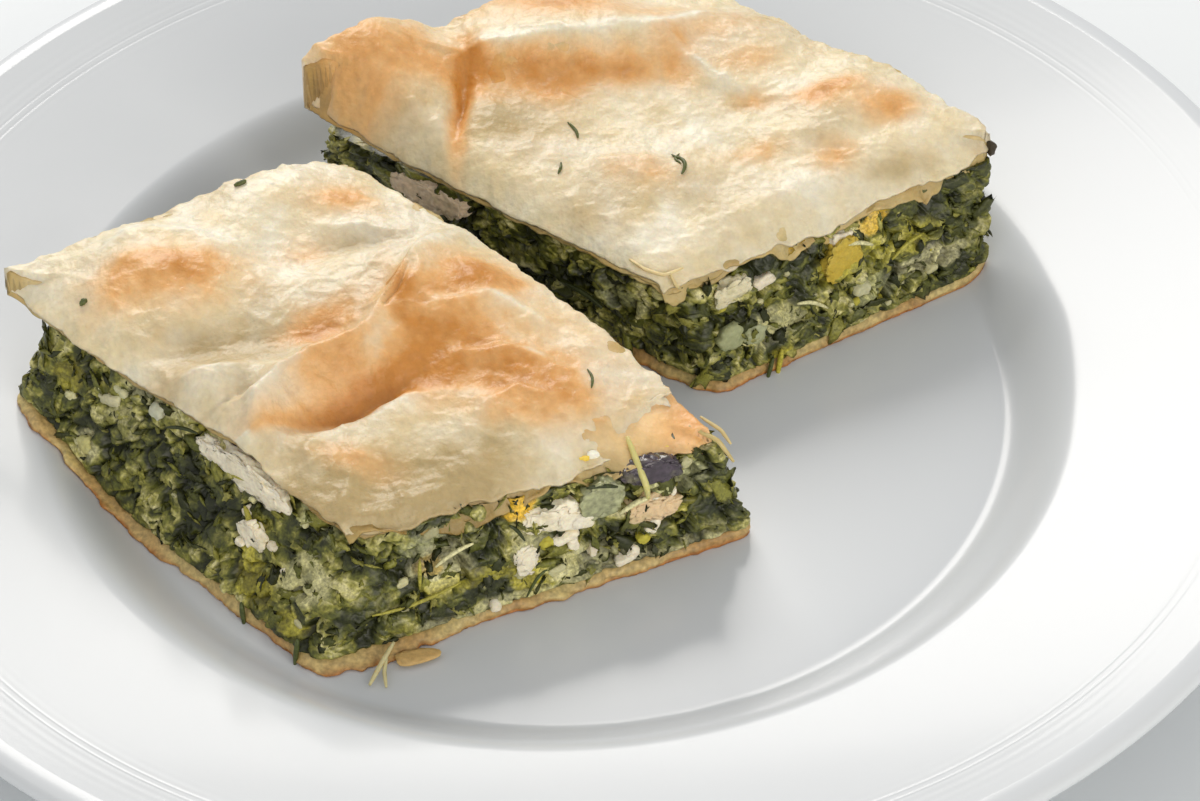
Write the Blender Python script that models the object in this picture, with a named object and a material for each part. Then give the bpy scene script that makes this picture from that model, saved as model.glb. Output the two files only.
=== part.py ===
"""Two diamond-cut slices of spinach and feta pie on a white dinner plate.

Sizes below are in millimetres and are turned into metres as each mesh is made. +Z is up, and the
origin is the centre of the plate's foot, on the table. In plan, each slice has four corners named
L (left), F (front), R (right) and B (back); u runs from L to F and v from L to B. A slice's base
corners lie on the plate, its top corners bound the filling's upper edge at the given heights over
the plate's floor, and its crust corners bound the baked top, which stands up by the given rise.
"""

import math

import bmesh
import bpy
import numpy as np

MM = 0.001

# --- plate: a turned coupe with a wide rim ---
PLATE_RADIUS = 135.0
FOOT_HEIGHT = 2.5
FOOT_RADIUS = 76.0
FOOT_WIDTH = 4.0
PLATE_THICKNESS = 4.0
FLOOR_TOP = FOOT_HEIGHT + PLATE_THICKNESS
FLOOR_RADIUS = 80.0
WELL_RADIUS = 93.6
WELL_DEPTH = 8.9
RIM_RADIUS = 131.0
RIM_RISE = 19.0
SHOULDER_SLOPE = 0.22
LIP_ROUND = 2.0
COVE_CLEARANCE = 0.35
PLATE_SEGMENTS = 64

# --- slices ---
GAP = 0.35
CELLS_U = 16
CELLS_V = 13
WALL_ROWS = 4
BOTTOM_CRUST = 2.3
TOP_CRUST = 1.8
FOOT_OVERHANG = 1.2
CRUST_OVERHANG = 0.8
EDGE_ROUND = 1.6
CORNER_ROUND = 1.5
WALL_BULGE = 0.9
WALL_LUMPS = 0.55
FILLING_FOLLOWS = 0.22

SLICES = {
    "front": {
        "base": {"L": (-98.5, -8.0), "F": (-41.0, -69.5), "R": (35.5, -37.5), "B": (-30.5, 31.5)},
        "top": {"L": (-91.5, -7.0), "F": (-34.0, -59.5), "R": (29.5, -40.0), "B": (-37.0, 29.0)},
        "crust": {"L": (-95.5, -2.0), "F": (-34.5, -60.5), "R": (27.5, -39.0), "B": (-38.5, 30.0)},
        "height": {"L": 28.5, "F": 25.0, "R": 25.0, "B": 28.0},
        "rise": {"L": 4.5, "F": 0.3, "R": 0.3, "B": 3.5},
        # each fold of the baked top: centre, half length, half width, direction (deg), height
        "folds": [
            ((-16.0, -16.0), 24.0, 15.0, -47.0, 7.5),
            ((-36.0, -16.0), 17.0, 5.5, 52.0, 4.5),
            ((-52.0, -33.0), 9.0, 4.5, 30.0, 2.2),
            ((-70.0, -6.0), 13.0, 10.5, 10.0, 5.0),
            ((-50.0, 17.0), 12.0, 7.0, 35.0, 4.0),
            ((-38.0, -2.0), 9.0, 6.0, -20.0, -1.5),
            ((-62.0, -26.0), 7.0, 3.0, -47.0, 1.8),
            ((12.0, -26.0), 12.0, 10.0, -20.0, 1.2),
        ],
    },
    "back": {
        "base": {"L": (-48.0, 54.0), "F": (28.0, -3.0), "R": (86.0, 33.0), "B": (24.0, 90.0)},
        "top": {"L": (-45.5, 45.0), "F": (20.5, 0.0), "R": (82.5, 32.0), "B": (20.0, 84.0)},
        "crust": {"L": (-47.5, 46.0), "F": (19.5, -1.0), "R": (80.5, 32.5), "B": (20.0, 86.0)},
        "height": {"L": 28.0, "F": 25.0, "R": 28.0, "B": 29.0},
        "rise": {"L": 7.0, "F": 0.3, "R": 2.5, "B": 5.0},
        "folds": [
            ((-33.0, 53.0), 13.0, 12.0, 60.0, 9.5),
            ((2.0, 62.0), 24.0, 14.0, -12.0, 9.5),
            ((-16.0, 42.0), 10.0, 2.5, 75.0, -3.0),
            ((54.0, 42.0), 14.0, 11.0, 25.0, 4.0),
            ((38.0, 56.0), 10.0, 8.0, 0.0, 2.0),
            ((16.0, 22.0), 13.0, 8.0, -30.0, 2.0),
            ((40.0, 16.0), 12.0, 5.0, 30.0, 1.6),
        ],
    },
}

# --- lumps seated in the cut faces: slice, face, place along it, height up it, size, direction ---
FETA = (0.86, 0.80, 0.66)
LUMPS = {
    "front_feta_slab": ("front", "LF", 0.655, 0.80, (23.0, 9.0, 6.4), 0.0, FETA),
    "front_feta_crumb": ("front", "LF", 0.735, 0.47, (5.5, 5.0, 5.5), 20.0, FETA),
    "front_feta_middle": ("front", "FR", 0.51, 0.70, (10.5, 7.0, 5.5), 0.0, FETA),
    "front_feta_sliver": ("front", "FR", 0.46, 0.37, (4.5, 5.0, 6.0), 0.0, FETA),
    "front_feta_tan": ("front", "FR", 0.765, 0.50, (10.0, 7.0, 5.0), -12.0, (0.82, 0.66, 0.45)),
    "front_onion_clear": ("front", "FR", 0.64, 0.72, (8.0, 6.0, 7.5), 10.0, (0.42, 0.50, 0.36)),
    "front_onion_purple": ("front", "FR", 0.775, 0.86, (11.0, 6.0, 4.6), -10.0, (0.20, 0.16, 0.24)),
    "back_feta_slab": ("back", "LF", 0.33, 0.76, (19.0, 9.0, 7.0), 0.0, (0.60, 0.48, 0.38)),
    "back_egg_yolk": ("back", "FR", 0.48, 0.62, (7.5, 6.0, 8.0), 0.0, (0.72, 0.58, 0.10)),
    "back_feta_crumb": ("back", "FR", 0.15, 0.72, (8.0, 6.0, 4.5), 8.0, FETA),
}
LUMP_INSET = 0.22
LUMP_SQUARE = 0.72
LUMP_ROUGH = 0.10


def material(name, colour, roughness, metallic=0.0):
    """A plain Principled finish."""
    finish = bpy.data.materials.new(name)
    finish.use_nodes = True
    shader = finish.node_tree.nodes["Principled BSDF"]
    shader.inputs["Base Color"].default_value = (*colour, 1.0)
    shader.inputs["Roughness"].default_value = roughness
    shader.inputs["Metallic"].default_value = metallic
    return finish


def add_object(name, verts_mm, faces, finish):
    """An object at the origin whose mesh holds these points, turned from millimetres to metres."""
    mesh = bpy.data.meshes.new(name)
    mesh.from_pydata((np.asarray(verts_mm) * MM).tolist(), [], faces)
    mesh.update()
    mesh.materials.append(finish)
    obj = bpy.data.objects.new(name, mesh)
    bpy.context.collection.objects.link(obj)
    mesh.shade_smooth()
    mesh.set_sharp_from_angle(angle=math.radians(50.0))
    return obj


# --- plate ---


def plate_surface(radius):
    """Height of the plate's upper face over the table: a flat floor, a cove up to the well's
    edge (a cubic that leaves the floor level and meets the rim's slope), and a rim that
    steepens as a parabola towards the lip."""
    cove = WELL_RADIUS - FLOOR_RADIUS
    rim = RIM_RADIUS - WELL_RADIUS
    c = np.clip((radius - FLOOR_RADIUS) / cove, 0.0, 1.0)
    r = np.clip((radius - WELL_RADIUS) / rim, 0.0, 1.0)
    in_cove = WELL_DEPTH * (3 * c**2 - 2 * c**3) + SHOULDER_SLOPE * cove * (c**3 - c**2)
    straight = SHOULDER_SLOPE * rim
    on_rim = straight * r + (RIM_RISE - WELL_DEPTH - straight) * r**2
    return FLOOR_TOP + in_cove + on_rim


def resting_height(plan):
    """Height of a crust's underside at these plan points: a gap over the plate, a little more
    of it over the curved cove, whose facets stand proud of the curve."""
    radius = np.hypot(plan[..., 0], plan[..., 1])
    on_cove = np.clip((radius - FLOOR_RADIUS + 3.0) / 6.0, 0.0, 1.0)
    return plate_surface(radius) + GAP + COVE_CLEARANCE * on_cove


def plate_profile():
    """(radius, height) down the plate's section, from the middle of its upper face, over the
    rolled lip, along the underside and the foot ring, to the middle of the underside."""
    upper_r = [FLOOR_RADIUS * 0.5, FLOOR_RADIUS, 83.5, 87.0, 90.5, WELL_RADIUS, 99.0, 110.0, 121.0, RIM_RADIUS]
    upper = [(r, float(plate_surface(r))) for r in upper_r]
    lip_top = upper[-1][1]
    lip_turns = [math.radians(a) for a in (50.0, 0.0, -50.0, -100.0)]
    centre_r = PLATE_RADIUS - LIP_ROUND
    centre_z = lip_top + 0.7 - LIP_ROUND
    lip = [(centre_r + LIP_ROUND * math.cos(a), centre_z + LIP_ROUND * math.sin(a)) for a in lip_turns]
    lower_r = [118.0, 98.0, 89.0, 82.0]
    lower = [(r, float(plate_surface(r)) - PLATE_THICKNESS) for r in lower_r]
    outer_foot = FOOT_RADIUS + FOOT_WIDTH / 2
    inner_foot = FOOT_RADIUS - FOOT_WIDTH / 2
    foot = [(outer_foot, FOOT_HEIGHT - 0.3), (outer_foot - 0.8, 0.0), (inner_foot + 0.8, 0.0)]
    return upper + lip + lower + foot + [(inner_foot, FOOT_HEIGHT)]


def make_plate():
    """The plate's profile turned about the vertical axis, closed by a point in the middle of
    each face."""
    profile = np.array(plate_profile())
    angles = np.arange(PLATE_SEGMENTS) * 2 * math.pi / PLATE_SEGMENTS
    radius = profile[:, 0][:, None]
    rings = np.stack(
        [radius * np.cos(angles), radius * np.sin(angles), np.repeat(profile[:, 1:], PLATE_SEGMENTS, 1)], -1
    )
    verts = np.concatenate([rings.reshape(-1, 3), [[0, 0, FLOOR_TOP], [0, 0, FOOT_HEIGHT]]])
    top_middle = len(verts) - 2
    under_middle = len(verts) - 1
    last = (len(profile) - 1) * PLATE_SEGMENTS
    faces = []
    for k in range(PLATE_SEGMENTS):
        n = (k + 1) % PLATE_SEGMENTS
        faces.append((top_middle, k, n))
        faces.append((under_middle, last + n, last + k))
        for i in range(len(profile) - 1):
            a, b = i * PLATE_SEGMENTS, (i + 1) * PLATE_SEGMENTS
            faces.append((a + k, b + k, b + n, a + n))
    return add_object("plate", verts, faces, material("glaze", (0.74, 0.77, 0.78), 0.12))


# --- slices ---


def corner_grid(corners, u, v):
    """Plan points of a four-cornered patch by bilinear blending of its corners."""
    c = {key: np.array(point) for key, point in corners.items()}
    u, v = u[..., None], v[..., None]
    return c["L"] * (1 - u) * (1 - v) + c["F"] * u * (1 - v) + c["R"] * u * v + c["B"] * (1 - u) * v


def corner_blend(values, u, v):
    """The same blending of one number at each corner."""
    return (
        values["L"] * (1 - u) * (1 - v) + values["F"] * u * (1 - v) + values["R"] * u * v + values["B"] * (1 - u) * v
    )


def ripple(x, y, z, wave):
    """A smooth lumpy field between about -1 and 1: three crossed sine waves of this wavelength."""
    k = 2 * math.pi / wave
    a = np.sin(k * (0.9 * x + 0.4 * y + 0.3 * z) + 1.3)
    b = np.sin(k * 1.31 * (-0.5 * x + 0.8 * y + 0.5 * z) + 0.4)
    c = np.sin(k * 0.77 * (0.3 * x - 0.6 * y + 1.1 * z) + 2.1)
    return (a + b + c) / 2.2


def fold_height(folds, x, y):
    """Sum of the named folds: each is a bell with its own length, width and direction."""
    total = np.zeros_like(x)
    for (cx, cy), along, across, degrees, height in folds:
        turn = math.radians(degrees)
        p = (x - cx) * math.cos(turn) + (y - cy) * math.sin(turn)
        q = -(x - cx) * math.sin(turn) + (y - cy) * math.cos(turn)
        total += height * np.exp(-((p / along) ** 2) - (q / across) ** 2)
    return total


def unit_grid():
    """u and v at the points of a slice's grid."""
    return np.meshgrid(np.linspace(0, 1, CELLS_U + 1), np.linspace(0, 1, CELLS_V + 1), indexing="ij")


def grow(plan, amount):
    """Moves the border points of a plan grid outwards by this amount, and pulls its corners in."""
    moved = plan.copy()
    centre = plan.reshape(-1, 2).mean(0)
    u, v = unit_grid()
    for mask, axis in ((u == 0, 0), (u == 1, 0), (v == 0, 1), (v == 1, 1)):
        inner = np.roll(plan, 1 if (u[mask][0] == 1 and axis == 0) or (v[mask][0] == 1 and axis == 1) else -1, axis)
        away = plan[mask] - inner[mask]
        away /= np.linalg.norm(away, axis=-1, keepdims=True)
        moved[mask] += away * (amount[mask][:, None] if np.ndim(amount) else amount)
    corner = (np.abs(u - 0.5) == 0.5) & (np.abs(v - 0.5) == 0.5)
    inwards = centre - plan[corner]
    moved[corner] += inwards / np.linalg.norm(inwards, axis=-1, keepdims=True) * CORNER_ROUND
    return moved


def border(grid):
    """The grid's border points in order: along v = 0, then u = 1, then v = 1, then u = 0."""
    return np.concatenate([grid[:-1, 0], grid[-1, :-1], grid[:0:-1, -1], grid[0, :0:-1]])


def block(name, top, bottom, rows, finish):
    """A closed body between two grids with the same border, with extra rows of points down its
    sides. Flat stretches of the underside are merged into single faces."""
    count_u, count_v = top.shape[0], top.shape[1]
    index = np.arange(count_u * count_v).reshape(count_u, count_v)
    quads = np.stack([index[:-1, :-1], index[1:, :-1], index[1:, 1:], index[:-1, 1:]], -1).reshape(-1, 4)
    verts = [top.reshape(-1, 3), bottom.reshape(-1, 3)]
    faces = quads.tolist() + (quads[:, ::-1] + top.size // 3).tolist()
    rings = [border(index)]
    start = 2 * top.size // 3
    for row in rows:
        verts.append(row)
        rings.append(start + np.arange(len(row)))
        start += len(row)
    rings.append(border(index) + top.size // 3)
    for upper, lower in zip(rings, rings[1:]):
        faces += np.stack([upper, lower, np.roll(lower, -1), np.roll(upper, -1)], -1).tolist()
    obj = add_object(name, np.concatenate(verts), faces, finish)
    merge_flat(obj)
    return obj


def merge_flat(obj):
    """Merges level faces that lie in one plane, then splits every face into triangles."""
    work = bmesh.new()
    work.from_mesh(obj.data)
    bmesh.ops.recalc_face_normals(work, faces=work.faces)
    level = [face for face in work.faces if abs(face.normal.z) > 0.99999]
    edges = list({edge for face in level for edge in face.edges})
    verts = list({vert for face in level for vert in face.verts})
    bmesh.ops.dissolve_limit(work, angle_limit=math.radians(0.02), verts=verts, edges=edges)
    bmesh.ops.triangulate(work, faces=work.faces)
    work.to_mesh(obj.data)
    work.free()


def slice_layers(spec):
    """The plan grids and heights that a slice's three layers share."""
    u, v = unit_grid()
    base_plan = corner_grid(spec["base"], u, v)
    top_plan = corner_grid(spec["top"], u, v)
    plate = resting_height(base_plan)
    folds = fold_height(spec["folds"], top_plan[..., 0], top_plan[..., 1])
    filling_top = FLOOR_TOP + corner_blend(spec["height"], u, v) + FILLING_FOLLOWS * folds
    return base_plan, top_plan, plate, folds, filling_top


def with_height(plan, height):
    return np.concatenate([plan, height[..., None]], -1)


def make_bottom_crust(name, spec):
    """A thin sheet that lies on the plate, follows its cove and stands out a little all round."""
    base_plan, _, plate, _, _ = slice_layers(spec)
    wavy = FOOT_OVERHANG + 0.7 * ripple(base_plan[..., 0], base_plan[..., 1], 0.0, 17.0)
    plan = grow(base_plan, wavy)
    under = resting_height(plan)
    return block(
        name, with_height(plan, plate + BOTTOM_CRUST), with_height(plan, under), [],
        material(name, (0.62, 0.38, 0.17), 0.6),
    )


def make_filling(name, spec):
    """The spinach filling: lumpy cut faces that lean in towards the top, a rounded upper edge."""
    base_plan, top_plan, plate, _, filling_top = slice_layers(spec)
    u, v = unit_grid()
    on_border = (u == 0) | (u == 1) | (v == 0) | (v == 1)
    bottom_height = plate + BOTTOM_CRUST + GAP
    foot_plan = grow(base_plan, 0.0)
    head_plan = grow(top_plan, 0.0)
    top_height = filling_top - EDGE_ROUND * on_border
    foot, head = border(foot_plan), border(head_plan)
    foot_z, head_z = border(bottom_height), border(top_height)
    middle = head.mean(0)
    rows = []
    for level in np.linspace(1, 0, WALL_ROWS + 2)[1:-1]:
        point = foot + (head - foot) * level
        z = foot_z + (head_z - foot_z) * level
        away = (point - middle) / np.linalg.norm(point - middle, axis=-1, keepdims=True)
        lumps = WALL_BULGE * math.sin(math.pi * level) + WALL_LUMPS * ripple(point[:, 0], point[:, 1], z, 11.0)
        rows.append(with_height(point + away * lumps[:, None], z))
    return block(
        name, with_height(head_plan, top_height), with_height(foot_plan, bottom_height), rows,
        material(name, (0.07, 0.12, 0.05), 0.45),
    )


def make_top_crust(name, spec):
    """The baked phyllo top: blistered folds above, resting on the filling, its rim drooping
    over the cut faces."""
    _, top_plan, _, folds, filling_top = slice_layers(spec)
    u, v = unit_grid()
    on_border = (u == 0) | (u == 1) | (v == 0) | (v == 1)
    x, y = top_plan[..., 0], top_plan[..., 1]
    outline = np.where(on_border[..., None], corner_grid(spec["crust"], u, v), top_plan)
    plan = grow(outline, CRUST_OVERHANG + 0.8 * ripple(x, y, 0.0, 21.0))
    droop = 0.7 * on_border
    under = filling_top + GAP - droop
    wrinkles = 0.35 * ripple(x, y, 0.0, 13.0)
    puff = corner_blend(spec["rise"], u, v) + (1 - FILLING_FOLLOWS) * folds
    rise = TOP_CRUST + np.maximum(puff, -0.6) + wrinkles * ~on_border
    return block(
        name, with_height(plan, under + rise), with_height(plan, under), [],
        material(name, (0.80, 0.62, 0.38), 0.5),
    )


# --- lumps in the cut faces ---


def face_point(spec, face, along, up):
    """A point on a cut face of the filling and the direction of the face, both in plan."""
    start, end = face
    foot = np.array(spec["base"][start]) * (1 - along) + np.array(spec["base"][end]) * along
    head = np.array(spec["top"][start]) * (1 - along) + np.array(spec["top"][end]) * along
    low = float(resting_height(foot)) + BOTTOM_CRUST
    high = FLOOR_TOP + spec["height"][start] * (1 - along) + spec["height"][end] * along
    point = foot + (head - foot) * up
    direction = np.array(spec["base"][end]) - np.array(spec["base"][start])
    return np.array([*point, low + (high - low) * up]), direction / np.linalg.norm(direction)


def lump_shape(size, margin, seed):
    """Points and faces of a rough rounded block: a subdivided sphere pushed towards a box by a
    power below one, with a seeded unevenness of each point."""
    work = bmesh.new()
    bmesh.ops.create_icosphere(work, subdivisions=2, radius=1.0)
    verts = np.array([vert.co[:] for vert in work.verts])
    faces = [[vert.index for vert in face.verts] for face in work.faces]
    work.free()
    verts = np.sign(verts) * np.abs(verts) ** LUMP_SQUARE
    rough = 1 + LUMP_ROUGH * np.random.default_rng(seed).uniform(-1, 1, (len(verts), 1))
    return verts * rough * (np.array(size) / 2 + margin), faces


def make_lump(name, entry, seed, filling):
    """A lump seated in a cut face, and the slightly larger cutter that makes its pocket."""
    slice_name, face, along, up, size, tilt, colour = entry
    point, direction = face_point(SLICES[slice_name], face, along, up)
    inwards = np.array([-direction[1], direction[0]])
    point[:2] += inwards * size[1] * LUMP_INSET
    turn = math.radians(tilt)
    frame = np.array([[*direction, 0.0], [*inwards, 0.0], [0.0, 0.0, 1.0]])
    tip = np.array([[math.cos(turn), 0, math.sin(turn)], [0, 1, 0], [-math.sin(turn), 0, math.cos(turn)]])
    verts, faces = lump_shape(size, 0.0, seed)
    add_object(name, verts @ tip @ frame + point, faces, material(name, colour, 0.55))
    verts, faces = lump_shape(size, 2 * GAP, seed)
    cutter = add_object("cutter_" + name, verts @ tip @ frame + point, faces, material("cutter", colour, 0.5))
    cutter.hide_render = True
    cutter.display_type = "WIRE"
    pocket = filling.modifiers.new("pocket_" + name, "BOOLEAN")
    pocket.operation = "DIFFERENCE"
    pocket.solver = "EXACT"
    pocket.object = cutter


for old in list(bpy.data.objects):
    bpy.data.objects.remove(old)

make_plate()
fillings = {}
for slice_name, slice_spec in SLICES.items():
    make_bottom_crust(slice_name + "_bottom_crust", slice_spec)
    fillings[slice_name] = make_filling(slice_name + "_filling", slice_spec)
    make_top_crust(slice_name + "_top_crust", slice_spec)
for number, (lump_name, lump_entry) in enumerate(LUMPS.items()):
    make_lump(lump_name, lump_entry, number, fillings[lump_entry[0]])
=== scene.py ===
import math

import bmesh
import bpy
import numpy as np
from mathutils import Matrix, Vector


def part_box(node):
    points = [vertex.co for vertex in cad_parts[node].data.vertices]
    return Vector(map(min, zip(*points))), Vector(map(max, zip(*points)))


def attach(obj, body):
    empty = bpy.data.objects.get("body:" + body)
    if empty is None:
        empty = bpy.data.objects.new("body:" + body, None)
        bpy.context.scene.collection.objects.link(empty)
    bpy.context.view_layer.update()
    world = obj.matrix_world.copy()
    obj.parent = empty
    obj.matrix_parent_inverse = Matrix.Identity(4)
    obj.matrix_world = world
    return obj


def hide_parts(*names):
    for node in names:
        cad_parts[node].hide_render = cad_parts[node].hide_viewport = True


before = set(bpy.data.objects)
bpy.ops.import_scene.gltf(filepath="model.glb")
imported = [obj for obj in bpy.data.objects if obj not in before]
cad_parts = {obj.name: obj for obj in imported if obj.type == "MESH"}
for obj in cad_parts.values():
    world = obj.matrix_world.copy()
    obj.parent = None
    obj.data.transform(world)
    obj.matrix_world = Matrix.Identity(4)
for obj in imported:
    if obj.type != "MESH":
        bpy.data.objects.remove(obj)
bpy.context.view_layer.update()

# Camera. It looks along +Y and down on the plate from arm's length, with a long lens, and is
# tipped very slightly to one side. Sizes in this file are millimetres until a mesh is made.
MM = 0.001
VIEW_DOWN = math.radians(42.6)
VIEW_TIP = math.radians(-1.34)
VIEW_FROM = (7.2, -441.4, 410.5)

forward = np.array([0.0, math.cos(VIEW_DOWN), -math.sin(VIEW_DOWN)])
level_right = np.array([1.0, 0.0, 0.0])
level_up = np.cross(level_right, forward)
right = math.cos(VIEW_TIP) * level_right + math.sin(VIEW_TIP) * level_up
up = -math.sin(VIEW_TIP) * level_right + math.cos(VIEW_TIP) * level_up
lens = bpy.data.cameras.new("camera")
lens.lens = 99.0
lens.sensor_width = 36.0
lens.clip_start = 0.01
camera = bpy.data.objects.new("camera", lens)
bpy.context.scene.collection.objects.link(camera)
camera.matrix_world = Matrix(
    [[right[i], up[i], -forward[i], VIEW_FROM[i] * MM] for i in range(3)] + [[0, 0, 0, 1]]
)
bpy.context.scene.camera = camera

# The dinner plate. White porcelain, pressed and turned, glazed all over but for its foot: a level
# floor, a cove, a wide rim with faint turning rings near the edge, a rolled lip and a foot ring.
plate_low, plate_high = (np.array(corner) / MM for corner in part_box("plate"))
PLATE_RADIUS = (plate_high[0] - plate_low[0]) / 2
FOOT_HEIGHT = 2.5
FLOOR_TOP = FOOT_HEIGHT + 4.0
FLOOR_RADIUS = 80.0
WELL_RADIUS = 93.6
WELL_DEPTH = 8.9
RIM_RADIUS = PLATE_RADIUS - 4.0
RIM_RISE = 19.0
SHOULDER_SLOPE = 0.22
FOOT_RADIUS = 76.0
TURNING_STEPS = 288


def skin(name, rings, closed=True):
    """A mesh over a stack of rings, all with the same number of points: neighbouring rings are
    joined by quads, and with closed set a fan to one middle point covers each end. The first
    ring is the top, and each ring runs anticlockwise seen from above."""
    count, around = rings.shape[:2]
    index = np.arange(count * around).reshape(count, around)
    after = np.roll(index, -1, 1)
    quads = np.stack([index[:-1], index[1:], after[1:], after[:-1]], -1).reshape(-1, 4)
    points = rings.reshape(-1, 3)
    fans = np.zeros((0, 3), int)
    if closed:
        points = np.concatenate([points, rings[0].mean(0)[None], rings[-1].mean(0)[None]])
        top = np.full(around, count * around)
        first = np.stack([top, index[0], after[0]], -1)
        last = np.stack([top + 1, after[-1], index[-1]], -1)
        fans = np.concatenate([first, last])
    return surface(name, points, quads, fans)


def surface(name, points, quads, triangles=None):
    """Puts arrays of points (millimetres) and faces into a smooth-shaded mesh (metres)."""
    mesh = bpy.data.meshes.new(name)
    triangles = np.zeros((0, 3), int) if triangles is None else triangles
    corners = np.concatenate([quads.ravel(), triangles.ravel()]).astype(np.int32)
    starts = np.concatenate([np.arange(len(quads)) * 4, quads.size + np.arange(len(triangles)) * 3])
    mesh.vertices.add(len(points))
    mesh.vertices.foreach_set("co", (np.asarray(points) * MM).astype(np.float32).ravel())
    mesh.loops.add(len(corners))
    mesh.loops.foreach_set("vertex_index", corners)
    mesh.polygons.add(len(starts))
    mesh.polygons.foreach_set("loop_start", starts.astype(np.int32))
    mesh.update(calc_edges=True)
    mesh.shade_smooth()
    return mesh


def place(mesh, material, replaced=()):
    """Makes the mesh a finished piece of the object: links it, gives it its material, lets it
    ride on the one body, and hides the CAD nodes it stands for."""
    piece = bpy.data.objects.new(mesh.name, mesh)
    bpy.context.scene.collection.objects.link(piece)
    mesh.materials.append(material)
    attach(piece, "root")
    if replaced:
        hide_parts(*replaced)


def plate_height(radius):
    """Height of the plate's upper face: level floor, then a cubic cove that meets the rim's
    slope at the well's edge, then a rim that steepens as a parabola towards the lip."""
    cove = WELL_RADIUS - FLOOR_RADIUS
    rim = RIM_RADIUS - WELL_RADIUS
    c = np.clip((radius - FLOOR_RADIUS) / cove, 0.0, 1.0)
    r = np.clip((radius - WELL_RADIUS) / rim, 0.0, 1.0)
    in_cove = WELL_DEPTH * (3 * c**2 - 2 * c**3) + SHOULDER_SLOPE * cove * (c**3 - c**2)
    steepening = RIM_RISE - WELL_DEPTH - SHOULDER_SLOPE * rim
    return FLOOR_TOP + in_cove + SHOULDER_SLOPE * rim * r + steepening * r**2


def turned(profile, around):
    """Rings of a turned shape: each (radius, height) of the profile carried round the axis."""
    angle = np.arange(around) * 2 * math.pi / around
    radius, height = profile[:, :1], profile[:, 1:]
    return np.stack([radius * np.cos(angle), radius * np.sin(angle), height + 0 * angle], -1)


inner_r = np.concatenate([np.linspace(4, 78, 18), np.arange(79, 116, 0.5)])
ringed_r = np.arange(116, RIM_RADIUS, 0.16)
fade = np.sin(np.pi * (ringed_r - 116) / (RIM_RADIUS - 116)) ** 2
grooves = sum(np.exp(-(((ringed_r - at) / 0.22) ** 2)) for at in (121.4, 122.8))
turning_rings = 0.005 * fade * np.sin(2 * np.pi * ringed_r / 1.7)
rings_z = plate_height(ringed_r) + turning_rings - 0.035 * grooves
lip_turn = np.radians(np.linspace(65, -100, 14))
lip_centre = np.array([PLATE_RADIUS - 2.0, plate_high[2] - 2.0])
under_r = np.concatenate([np.linspace(RIM_RADIUS - 4, 96, 12), np.linspace(94, FOOT_RADIUS + 3, 12)])
foot_r = FOOT_RADIUS + np.array([2.0, 1.6, 1.0, -1.0, -1.6, -2.0])
foot_z = np.array([FOOT_HEIGHT - 0.3, 0.5, 0.0, 0.0, 0.5, FOOT_HEIGHT])
profile = np.concatenate([
    np.stack([inner_r, plate_height(inner_r)], -1),
    np.stack([ringed_r, rings_z], -1),
    lip_centre + 2.0 * np.stack([np.cos(lip_turn), np.sin(lip_turn)], -1),
    np.stack([under_r, plate_height(under_r) - 3.8], -1),
    np.stack([foot_r, foot_z], -1),
    [[40.0, FOOT_HEIGHT], [4.0, FOOT_HEIGHT]],
])


def shader_material(name, colour, roughness):
    """A material whose Principled shader has this plain colour and roughness; returns it with
    its node tree and shader, so that a pattern can be wired in."""
    material = bpy.data.materials.new(name)
    material.use_nodes = True
    tree = material.node_tree
    shader = tree.nodes["Principled BSDF"]
    shader.inputs["Base Color"].default_value = (*colour, 1.0)
    shader.inputs["Roughness"].default_value = roughness
    return material, tree, shader


def object_noise(tree, scale, detail, kind="ShaderNodeTexNoise"):
    """A noise or Voronoi texture read in object coordinates; scale is per metre."""
    where = tree.nodes.new("ShaderNodeTexCoord")
    texture = tree.nodes.new(kind)
    texture.inputs["Scale"].default_value = scale
    if kind == "ShaderNodeTexNoise":
        texture.inputs["Detail"].default_value = detail
    tree.links.new(where.outputs["Object"], texture.inputs["Vector"])
    return texture


def add_bump(tree, shader, texture, output, strength, distance):
    """Roughens the shading by a texture's height, chained after any bump already there."""
    bump = tree.nodes.new("ShaderNodeBump")
    bump.inputs["Strength"].default_value = strength
    bump.inputs["Distance"].default_value = distance
    tree.links.new(texture.outputs[output], bump.inputs["Height"])
    if shader.inputs["Normal"].links:
        tree.links.new(shader.inputs["Normal"].links[0].from_socket, bump.inputs["Normal"])
    tree.links.new(bump.outputs["Normal"], shader.inputs["Normal"])


glaze, tree, shader = shader_material("porcelain_glaze", (0.66, 0.685, 0.71), 0.24)
shader.inputs["Specular IOR Level"].default_value = 0.35
shader.inputs["Coat Weight"].default_value = 0.15
shader.inputs["Coat Roughness"].default_value = 0.1
orange_peel = object_noise(tree, 90.0, 2.0)
add_bump(tree, shader, orange_peel, "Fac", 0.05, 0.0006)
place(skin("dinner_plate", turned(profile, TURNING_STEPS)), glaze, ["plate"])

# The two fillings. Chopped spinach leaves set in egg and curd, cut with a knife, so every face is
# a blotchy crowd of soft dark leaf clumps with pale curd between them and a few deep gaps.


def node_points(node):
    """The points of a CAD node, in millimetres."""
    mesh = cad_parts[node].data
    points = np.zeros(len(mesh.vertices) * 3)
    mesh.vertices.foreach_get("co", points)
    return points.reshape(-1, 3) / MM


COMPASS = {"L": (-1.0, 0.0), "F": (0.0, -1.0), "R": (1.0, 0.0), "B": (0.0, 1.0)}


def corner_points(node, lift):
    """A slice's four corners L, F, R, B on one node: for each, the point that reaches furthest
    that way, with lift saying how much height counts, upwards or downwards."""
    points = node_points(node)
    ways = np.array([[*COMPASS[key], lift] for key in "LFRB"])
    return points[np.argmax(points @ ways.T, 0)]


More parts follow.
